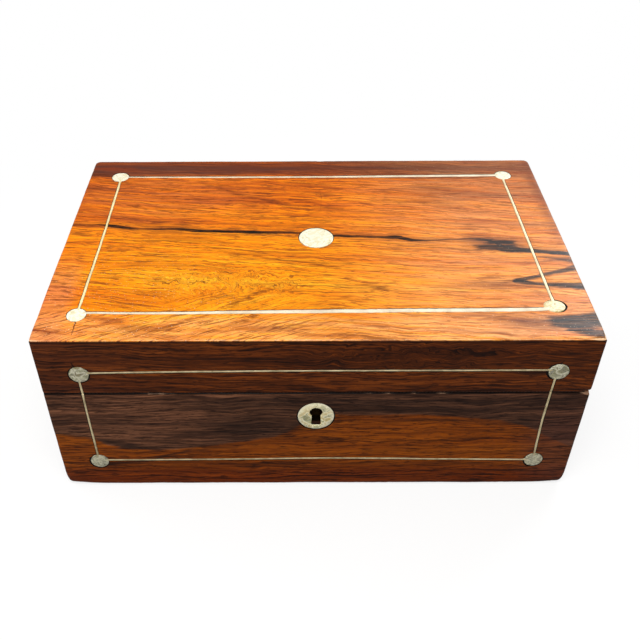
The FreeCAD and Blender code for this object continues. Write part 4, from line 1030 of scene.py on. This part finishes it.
PEARL_YELLOWED = pearl("pearl_yellowed", 8.0, YELLOWED, 0.35)
PEARL_FRONT = pearl("pearl_front", 9.0, GREENISH, 0.6)
PEARL_PLATE = pearl("pearl_plate", 13.0, PALE_PLATE, 0.34, (PLATE_CENTRE, PLATE_HIGHLIGHT_R))
PEWTER = metal("pewter_inlay", (240, 226, 198), (150, 128, 100), 3.0, 0.34, 0.35, 0.12)
PEWTER_WARM = metal("pewter_warm", (255, 238, 182), (156, 122, 66), 27.0, 0.34, 0.35, 0.12)
PEWTER_PALE = metal("pewter_pale", (250, 234, 192), (150, 126, 84), 29.0, 0.34, 0.35, 0.12)
PEWTER_FRONT = metal("pewter_front", (240, 222, 176), (120, 98, 62), 23.0, 0.36, 0.6, 0.25)
BRASS = metal("old_brass", (220, 188, 128), (122, 92, 54), 7.0, 0.26)
BLACKENED = metal("blackened_brass", (46, 36, 24), (14, 11, 9), 19.0, 0.5)
STEEL = metal("blued_steel", (130, 132, 140), (60, 56, 56), 17.0, 0.3)
VELVET = velvet("claret_velvet", (134, 30, 40), (58, 8, 16), 3.0)
SILK = satin("claret_silk", (172, 52, 58), (112, 20, 32), 7.0)
BAIZE = baize_cloth()


# ---- Veneered box -------------------------------------------------------------------------------

TOP_DISCS = [
    Disc((-109.7, 141.7), (4.7, 4.7), 1, 0.35), Disc((109.1, 142.3), (4.5, 4.5), 2, 0.3),
    Disc((-109.4, 17.9), (4.4, 4.6), 3, 0.28), Disc((109.2, 23.2), (5.0, 4.3), 4, 0.4, (0.55, -0.1)),
]
CENTRE_DISC = Disc((1.0, 79.6), (8.8, 8.8), 5, 0.4)
LID_DISCS = [Disc((-108.3, 78.2), (4.5, 4.6), 6, 0.6), Disc((109.6, 79.2), (4.6, 4.5), 7, 0.6, (-0.5, 0.2))]
BASE_DISCS = [
    Disc((-108.1, 18.4), (4.4, 4.5), 8, 0.6, (-0.2, 0)), Disc((109.2, 18.75), (4.5, 4.5), 9, 0.6, (-0.25, 0)),
]
OUT = 1.0  # how far a groove's outline runs past the edge it opens at

TOP_LINES = {
    "back": Line([(-109.7, 141.8, 1.0), (-60, 141.4, 1.2), (0, 141.3, 1.5), (60, 141.9, 2.0),
                  (109.1, 142.5, 1.9)], 21, (4.8, 4.6), 0.3),
    "left": Line([(-109.2, 17.9, 1.05), (-108.9, 50, 1.15), (-108.7, 85, 1.05), (-109.2, 141.7, 1.15)], 22,
                 (4.7, 4.8), 0.22, 0.12),
    "right": Line([(109.5, 23.2, 1.25), (109.1, 60, 1.2), (108.9, 95, 1.2), (108.4, 142.3, 1.1)], 23,
                  (4.5, 4.6), 0.24, 0.12),
    "front": Line([(-109.4, 19.3, 1.2), (-70, 19.0, 1.5), (-40, 19.4, 1.9), (0, 20.0, 2.3), (50, 20.4, 2.4),
                   (95, 20.8, 2.4), (109.4, 21.6, 2.0)], 24, (4.5, 5.2), 0.3, 0.16),
}
LID_LINES = {
    "top": Line([(-108.3, 79.1, 0.9), (-60, 79.9, 0.9), (0, 80.3, 0.75), (60, 80.3, 0.8), (109.6, 80.3, 0.9)],
                31, (4.7, 4.9)),
    "left": Line([(-108.6, LID_FOOT - OUT, 0.9), (-108.7, 78.2, 0.9)], 32, (OUT, 4.8)),
    "right": Line([(108.5, LID_FOOT - OUT, 0.9), (108.9, 79.2, 0.9)], 33, (OUT, 4.7)),
}
BASE_LINES = {
    "bottom": Line([(-108.1, 19.2, 0.9), (-50, 19.5, 0.9), (0, 20.2, 0.9), (40, 19.9, 1.0), (56, 19.5, 0.9),
                    (109.2, 18.8, 0.9)], 34, (4.7, 4.7)),
    "left": Line([(-108.3, 18.4, 0.95), (-108.7, 45, 0.85), (-108.6, BASE_TOP + OUT, 0.9)], 35, (4.7, OUT)),
    "right": Line([(109.0, 18.75, 0.85), (108.2, 45, 0.95), (108.5, BASE_TOP + OUT, 0.9)], 36, (4.7, OUT)),
}


KEY_POINTS = 22


def keyhole(grow):
    """Outline of the keyhole in (u, z): a round head over a tapering slot with its foot's corners cut."""
    head = KEY_HEAD_R + grow
    start = math.asin(min(0.98, (KEY_NECK / 2 + grow) / head))
    loop = []
    for n in range(KEY_POINTS + 1):
        turn = -math.pi / 2 + start + (math.tau - 2 * start) * n / KEY_POINTS
        loop.append((KEY_X + head * math.cos(turn), KEY_Z + head * math.sin(turn)))
    foot, half = KEY_Z - KEY_DROP - grow, KEY_FOOT / 2 + grow
    corners = [(-half, KEY_CUT), (KEY_CUT - half, 0), (half - KEY_CUT, 0), (half, KEY_CUT)]
    return loop + [(KEY_X + u, foot + v) for u, v in corners]


def rectangle(low_u, low_v, high_u, high_v):
    return [(low_u, low_v), (high_u, low_v), (high_u, high_v), (low_u, high_v)]


SIDE_TOP = LID_TOP - VENEER
LID_BACK_FOOT = node_box("lid_back_veneer")[0].z
BASE_BACK_TOP = node_box("base_back_veneer")[1].z
SLOPE = math.tan(math.radians(50))
LID_BACK_EDGE = LID_BACK_FOOT + SLOPE * VENEER
BASE_BACK_EDGE = BASE_BACK_TOP - SLOPE * VENEER
INNER_D = HALF_D - VENEER
LID_NOTCH = INNER_D - (LID_BACK_FOOT - LID_FOOT) / SLOPE
BASE_NOTCH = INNER_D - (BASE_TOP - BASE_BACK_TOP) / SLOPE
PLATE_POCKET = circle(PLATE_CENTRE, PLATE_R + PLATE_GAP, PLATE_SIDES)
PARTS = {"lid": LID_PART, "base": BASE_PART}


def veneer(node, side, corners, skin, inlays=(), holes=(), bevel=None):
    """One veneer sheet, pocketed for its inlays, in place of its CAD node."""
    body = node.split("_")[0]
    grooves = [cut if isinstance(cut, list) else cut.loop() for cut in inlays]
    mesh = veneer_sheet(node + "_sheet", side, PARTS[body], corners, grooves, holes, bevel)
    piece = finish_piece(mesh, node + "_sheet", body, [skin, FILLER], sharp=50)
    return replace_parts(piece, node)


veneer("lid_top_veneer", TOP, rectangle(-HALF_W, 0, HALF_W, DEPTH), SKIN_TOP,
       [*TOP_LINES.values(), *TOP_DISCS, CENTRE_DISC])
veneer("lid_front_veneer", FRONT, rectangle(-HALF_W, LID_FOOT, HALF_W, SIDE_TOP), SKIN_LID_FRONT,
       [*LID_LINES.values(), *LID_DISCS])
veneer("base_front_veneer", FRONT, rectangle(-HALF_W, BASE_FOOT, HALF_W, BASE_TOP), SKIN_BASE_FRONT,
       [*BASE_LINES.values(), *BASE_DISCS, PLATE_POCKET], [keyhole(0.1)])
veneer("lid_back_veneer", BACK, rectangle(-HALF_W, LID_BACK_EDGE, HALF_W, SIDE_TOP), SKIN_BACK,
       bevel=(LID_BACK_EDGE, 1, SLOPE))
veneer("base_back_veneer", BACK, rectangle(-HALF_W, BASE_FOOT, HALF_W, BASE_BACK_EDGE), SKIN_BACK,
       bevel=(BASE_BACK_EDGE, -1, SLOPE))
LID_END = [(-INNER_D, LID_FOOT), (LID_NOTCH, LID_FOOT), (INNER_D, LID_BACK_FOOT), (INNER_D, SIDE_TOP),
           (-INNER_D, SIDE_TOP)]
BASE_END = [(-INNER_D, BASE_FOOT), (INNER_D, BASE_FOOT), (INNER_D, BASE_BACK_TOP), (BASE_NOTCH, BASE_TOP),
            (-INNER_D, BASE_TOP)]
for hand, side, skin in (("left", LEFT, SKIN_LEFT), ("right", RIGHT, SKIN_RIGHT)):
    veneer(f"lid_{hand}_veneer", side, LID_END, skin)
    veneer(f"base_{hand}_veneer", side, BASE_END, skin)


def inlay(name, mesh, body, material, node):
    """One piece of the inlay in place of its CAD node, or of its share of one."""
    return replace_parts(finish_piece(mesh, name, body, [material], sharp=30), node)


TONES = {"top_line_left": PEWTER_WARM, "top_line_right": PEWTER_PALE, "top_disc_3": PEARL_YELLOWED}
for lines, side, body, names, nodes, pewter in (
        (TOP_LINES, TOP, "lid", "top_line_{}", "lid_top_line_{}", PEWTER),
        (LID_LINES, FRONT, "lid", "lid_line_{}", "lid_front_line_{}", PEWTER_FRONT),
        (BASE_LINES, FRONT, "base", "base_line_{}_strip", "base_line_{}", PEWTER_FRONT)):
    for key, line in lines.items():
        name = names.format(key)
        strip = line_mesh("line", side, PARTS[body], line)
        inlay(name, strip, body, TONES.get(name, pewter), nodes.format(key))
for discs, side, body, names, node, shell in (
        (TOP_DISCS, TOP, "lid", "top_disc_{}", "lid_corner_discs", PEARL_TOP),
        ([CENTRE_DISC], TOP, "lid", "centre_disc", "lid_centre_disc", PEARL_TOP),
        (LID_DISCS, FRONT, "lid", "lid_disc_{}", "lid_front_discs", PEARL_FRONT),
        (BASE_DISCS, FRONT, "base", "base_disc_{}", "base_front_discs", PEARL_FRONT)):
    for n, disc in enumerate(discs):
        name = names.format(n)
        inlay(name, disc_mesh("disc", side, disc), body, TONES.get(name, shell), node)


# The plate's layers: how far its rim is drawn in, how much wider its keyhole is, and their depth
PLATE_LAYERS = ((0.0, 0.0, INLAY_DEPTH), (0.0, 0.0, 0.05), (0.18, 0.12, -0.03))


def plate_mesh():
    """The round keyhole plate, let in flush, with the keyhole cut through it."""
    points = []
    for inset, spread, depth in PLATE_LAYERS:
        flats = circle(PLATE_CENTRE, PLATE_R - inset, PLATE_SIDES) + keyhole(spread)
        points += [FRONT.at(u, v, depth + SURFACE_WAVE) for u, v in flats]
    size = len(flats)
    chains = [list(range(PLATE_SIDES)), list(range(PLATE_SIDES, size))]
    _, _, cells, _, _, owners = delaunay_2d_cdt([Vector(p) for p in flats], [], chains, 0, 1e-5, True)
    faces = []
    for cell, owner in zip(cells, owners):
        if owner == [0]:
            faces += [tuple(n + 2 * size for n in cell), tuple(cell)]
    for ring in (0, size):
        for chain in chains:
            for a, b in zip(chain, chain[1:] + chain[:1]):
                faces.append((ring + a, ring + b, ring + size + b, ring + size + a))
    return mesh_from("plate", points, faces)


inlay("keyhole_plate", plate_mesh(), "base", PEARL_PLATE, "escutcheon")


# ---- CAD nodes that keep their shape ------------------------------------------------------------

def dress(material, names, width=0.0):
    """Gives CAD nodes a material and, where width is given, a softened edge."""
    for name in names:
        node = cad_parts[name]
        node.data.materials.clear()
        node.data.materials.append(material)
        if width:
            bevel = node.modifiers.new("softened", "BEVEL")
            bevel.width = width * MM
            bevel.segments = 2
            bevel.limit_method = "ANGLE"
            bevel.angle_limit = math.radians(35)
            bevel.harden_normals = True


dress(RIM_WOOD, ["base_rim", "lid_rim"], 0.25)
dress(CARCASS_WOOD, [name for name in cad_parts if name.endswith("_board")])
HINGES = [f"hinge_{hand}_{part}" for hand in ("left", "right") for part in ("base_leaf", "lid_leaf", "pin")]
dress(BRASS, [*HINGES, "lock_plate", "link_plate", "link_staples"], 0.15)
dress(BRASS, ["hinge_base_screws", "hinge_lid_screws", "lock_screws", "link_screws"])
dress(BLACKENED, ["lock_cap", "lock_ward", "drill_pin"])
dress(STEEL, ["lock_bolt", "bolt_spring"], 0.1)


# ---- Linings ------------------------------------------------------------------------------------

def grid(columns, rows):
    """Places of a pad's points, as (layer, i, j): its back is layer 0 and its face layer 1."""
    return [(layer, i, j) for layer in (0, 1) for i in range(columns + 1) for j in range(rows + 1)]


def grid_faces(columns, rows):
    """Faces of a closed pad over the grid: back, face and border."""
    def at(layer, i, j):
        return (layer * (columns + 1) + i) * (rows + 1) + j

    faces = [(at(layer, i, j), at(layer, i + 1, j), at(layer, i + 1, j + 1), at(layer, i, j + 1))
             for layer in (0, 1) for i in range(columns) for j in range(rows)]
    border = [(i, 0) for i in range(columns)] + [(columns, j) for j in range(rows)]
    border += [(columns - i, rows) for i in range(columns)] + [(0, rows - j) for j in range(rows)]
    for a, b in zip(border, border[1:] + border[:1]):
        faces.append((at(0, *a), at(0, *b), at(1, *b), at(1, *a)))
    return faces


PANEL_ROUND = 1.6


def soft_panel(name, body, low, high, thin, material, step=4.0, belly=0.25, free=0):
    """A cloth-covered card panel: flat at its back, rounded over its edges and a little uneven.

    Thin is the axis through it and the way it faces. Free is the one end up the panel that is rounded, or 0
    for both.
    """
    low, high = Vector(low), Vector(high)
    middle, half = (low + high) / 2, (high - low) / 2
    through, facing = thin
    first, second = (axis for axis in range(3) if axis != through)
    columns, rows = (max(4, round(2 * half[axis] / step)) for axis in (first, second))
    reach = half[through]
    rounding = PANEL_ROUND * min(reach, 1.0)
    points = []
    for layer, i, j in grid(columns, rows):
        a, b = half[first] * (2 * i / columns - 1), half[second] * (2 * j / rows - 1)
        edge = min(half[first] - abs(a), half[second] - (b * free if free else abs(b)))
        drop = reach * (1 - min(1.0, edge / (2 * rounding))) ** 2
        lift = belly * (wobble(a * 0.05, through + 41, b * 0.06) + 0.6 * wobble(a * 0.2, 43, b * 0.2))
        place = Vector((0, 0, 0))
        place[first], place[second] = a, b
        place[through] = facing * (reach - belly - drop + min(lift, belly) if layer else -reach)
        points.append(middle + place)
    mesh = mesh_from(name, points, grid_faces(columns, rows))
    return finish_piece(mesh, name, body, [material], sharp=60)


CARD = 1.5  # thickness of the velvet and its card


def wall_linings(node, body, free):
    """Velvet over card on the four inner walls."""
    low, high = node_box(node)
    left, right, front, back = low.x + CARD, high.x - CARD, low.y + CARD, high.y - CARD
    panels = {
        "left": (low, (left, high.y, high.z), (0, 1)),
        "right": ((right, low.y, low.z), high, (0, -1)),
        "front": ((left, low.y, low.z), (right, front, high.z), (1, 1)),
        "back": ((left, back, low.z), (right, high.y, high.z), (1, -1)),
    }
    for key, (start, end, thin) in panels.items():
        panel = soft_panel(f"{node}_{key}", body, start, end, thin, VELVET, free=free)
        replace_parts(panel, node)


wall_linings("base_wall_lining", "base", 1)
wall_linings("lid_wall_lining", "lid", -1)

PAD_STEP = 2.0
QUILT = 32.0
STITCH = 0.5
PAD_ROLL = 5.0  # how far in from its rim a pad is full
PAD_RIM = 0.25  # its rim's share of its thickness
PAD_GIVE = 0.3  # the share of its thickness that blowing it up may move a point


def quilted_pad(node, body, facing, seed):
    """A silk pad quilted in diamonds: filled between its stitches, then blown up a little as cloth."""
    low, high = node_box(node)
    middle, half = (low + high) / 2, (high - low) / 2
    columns, rows = round(2 * half.x / PAD_STEP), round(2 * half.y / PAD_STEP)
    thick = 2 * half.z
    shift = (columns // 2 + rows // 2) % round(QUILT / PAD_STEP)
    points, held = [], []
    for layer, i, j in grid(columns, rows):
        x, y = half.x * (2 * i / columns - 1), half.y * (2 * j / rows - 1)
        p, q = (i + j - shift) * PAD_STEP / QUILT, (i - j) * PAD_STEP / QUILT
        seam = min(abs(p - round(p)), abs(q - round(q))) * QUILT
        edge = min(half.x - abs(x), half.y - abs(y))
        rim = edge < 0.01
        if layer == 0:
            z = 0.0
        elif rim:
            z = thick * PAD_RIM
        else:
            puff = (abs(math.sin(math.pi * p)) * abs(math.sin(math.pi * q))) ** 0.45
            roll = min(1.0, edge / PAD_ROLL) ** 0.5
            z = thick * (PAD_RIM + roll * (0.1 + 0.55 * puff)) + 0.2 * wobble(x * 0.06, seed, y * 0.06)
        if layer == 0 or seam < STITCH or rim:
            held.append(len(points))
        points.append(Vector((x, y, z)))
    mesh = mesh_from(node + "_quilt", points, grid_faces(columns, rows))
    blow_up(mesh, held, thick * PAD_GIVE * MM)
    top = max(vertex.co.z for vertex in mesh.vertices)
    squeeze = min(1.0, (thick - 0.05) / top)
    for vertex in mesh.vertices:
        x, y = max(-half.x, min(half.x, vertex.co.x)), max(-half.y, min(half.y, vertex.co.y))
        z = vertex.co.z * squeeze
        vertex.co = (middle.x + x, middle.y + y, low.z + z if facing > 0 else high.z - z)
    if facing < 0:
        mesh.flip_normals()
    piece = finish_piece(mesh, node + "_quilt", body, [SILK], sharp=75)
    smooth = piece.modifiers.new("smooth", "SUBSURF")
    smooth.levels = smooth.render_levels = 1
    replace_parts(piece, node)
    return piece


CLOTH_FRAMES = 20
CLOTH = {
    "quality": 4, "mass": 0.15, "vertex_group_mass": "stitches", "pin_stiffness": 1.0,
    "tension_stiffness": 18, "compression_stiffness": 18, "shear_stiffness": 9, "bending_stiffness": 0.02,
    "use_pressure": True, "uniform_pressure_force": 4.0, "shrink_min": -0.02,
}


def blow_up(mesh, held, limit):
    """Runs a short cloth simulation on a mesh given in millimetres, held at its stitches.

    No point moves further than the limit, which is in metres.
    """
    scene = bpy.context.scene
    mesh.transform(Matrix.Scale(MM, 4))
    pad = bpy.data.objects.new("pad_in_the_making", mesh)
    scene.collection.objects.link(pad)
    pad.vertex_groups.new(name="stitches").add(held, 1.0, "REPLACE")
    cloth = pad.modifiers.new("cloth", "CLOTH")
    for key, value in CLOTH.items():
        setattr(cloth.settings, key, value)
    cloth.settings.effector_weights.gravity = 0.0
    cloth.collision_settings.use_collision = False
    cloth.point_cache.frame_start = 1
    cloth.point_cache.frame_end = CLOTH_FRAMES
    start = [vertex.co.copy() for vertex in mesh.vertices]
    for step in range(1, CLOTH_FRAMES + 1):
        scene.frame_set(step)
    result = pad.evaluated_get(bpy.context.evaluated_depsgraph_get())
    for vertex, moved, rest in zip(mesh.vertices, result.data.vertices, start):
        shift = moved.co - rest
        if shift.length > limit:
            shift *= limit / shift.length
        vertex.co = rest + shift
    scene.frame_set(1)
    bpy.data.objects.remove(pad)
    mesh.transform(Matrix.Scale(1 / MM, 4))


quilted_pad("base_floor_pad", "base", 1, 3.0)
quilted_pad("lid_pad", "lid", -1, 5.0)

cloth_low, cloth_high = node_box("base_baize")
foot_cloth = soft_panel("base_baize_cloth", "base", cloth_low, cloth_high, (2, -1), BAIZE, 6.0, 0.08)
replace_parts(foot_cloth, "base_baize")


# ---- Stage, lights and camera -------------------------------------------------------------------

def soft_light(name, place, target, size, watts, colour=(1, 1, 1)):
    """A square area light, placed and aimed in millimetres."""
    light = bpy.data.lights.new(name, "AREA")
    light.shape = "SQUARE"
    light.size = size * MM
    light.energy = watts
    light.color = colour
    lamp = bpy.data.objects.new(name, light)
    lamp.location = Vector(place) * MM
    lamp.rotation_euler = (Vector(target) - Vector(place)).to_track_quat("-Z", "Y").to_euler()
    bpy.context.scene.collection.objects.link(lamp)


def paper():
    """White paper whose shadows fade out away from the box; other rays than the camera's find it darker."""
    paint = Paint("white_paper", Roughness=0.9, Specular_IOR_Level=0.0)
    links, nodes = paint.tree.links, paint.tree.nodes
    seen = Wire(paint, paint.add("ShaderNodeLightPath").outputs["Is Camera Ray"])
    away = paint.add("ShaderNodeVectorMath", operation="LENGTH")
    links.new(paint.add("ShaderNodeNewGeometry").outputs["Position"], away.inputs[0])
    fade = paint.add("ShaderNodeMapRange")
    for socket, value in zip(fade.inputs, (Wire(paint, away.outputs["Value"]), 0.15, 0.36, 0.74, 1.0)):
        paint.feed(socket, value)
    paint.feed(paint.shader.inputs["Base Color"], seen * (PAPER_WHITE - PAPER_GREY) + PAPER_GREY)
    blend = paint.add("ShaderNodeMixShader")
    paint.feed(blend.inputs[0], seen * Wire(paint, fade.outputs["Result"]))
    links.new(paint.shader.outputs[0], blend.inputs[1])
    links.new(paint.add("ShaderNodeEmission").outputs[0], blend.inputs[2])
    links.new(blend.outputs[0], nodes["Material Output"].inputs["Surface"])
    return paint.material


PAPER_WHITE, PAPER_GREY = 0.93, 0.26
FLOOR_REACH = 4.0
floor_mesh = bpy.data.meshes.new("floor")
floor_corners = rectangle(-FLOOR_REACH, -FLOOR_REACH, FLOOR_REACH, FLOOR_REACH)
floor_mesh.from_pydata([(x, y, 0) for x, y in floor_corners], [], [(0, 1, 2, 3)])
floor_mesh.materials.append(paper())
floor = bpy.data.objects.new("floor", floor_mesh)
bpy.context.scene.collection.objects.link(floor)

world = bpy.data.worlds.new("studio")
bpy.context.scene.world = world
world.use_nodes = True
sky = world.node_tree.nodes["Background"]
ray = world.node_tree.nodes.new("ShaderNodeLightPath")
level = world.node_tree.nodes.new("ShaderNodeMapRange")
level.inputs["To Min"].default_value = 0.2
level.inputs["To Max"].default_value = 1.0
world.node_tree.links.new(ray.outputs["Is Camera Ray"], level.inputs["Value"])
world.node_tree.links.new(level.outputs["Result"], sky.inputs["Strength"])
sky.inputs["Color"].default_value = (1, 1, 1, 1)

soft_light("key", (-60, -420, 820), (0, -10, 80), 520, 7.4, (1.0, 0.99, 0.97))
soft_light("fill", (-900, 200, 700), (0, 0, 60), 900, 4.5, (1.0, 0.98, 0.96))
soft_light("window", (365, 676, 700), (98, -50, 98), 330, 0.8)
soft_light("back_right", (620, 620, 620), (60, 20, 90), 420, 3.5, (0.95, 0.97, 1.0))

# A camera fitted to the corners of the box in the photo: lens, turns in radians and place in millimetres
LENS, SENSOR, SHIFT = 45.304, 36.0, 0.04126
YAW, PITCH, ROLL = 0.00475, 0.6967, -0.00606
EYE = (-9.17, -344.55, 331.80)

lens = bpy.data.cameras.new("camera")
lens.lens, lens.sensor_width, lens.shift_x = LENS, SENSOR, SHIFT
camera = bpy.data.objects.new("camera", lens)
right = Vector((math.cos(YAW), math.sin(YAW), 0))
forward = Vector((-math.sin(YAW) * math.cos(PITCH), math.cos(YAW) * math.cos(PITCH), -math.sin(PITCH)))
up = right.cross(forward)
across = right * math.cos(ROLL) + up * math.sin(ROLL)
upward = up * math.cos(ROLL) - right * math.sin(ROLL)
turn = Matrix((across, upward, -forward)).transposed()
camera.matrix_world = Matrix.Translation(Vector(EYE) * MM) @ turn.to_4x4()
bpy.context.scene.collection.objects.link(camera)
bpy.context.scene.camera = camera
bpy.context.scene.view_settings.view_transform = "Standard"
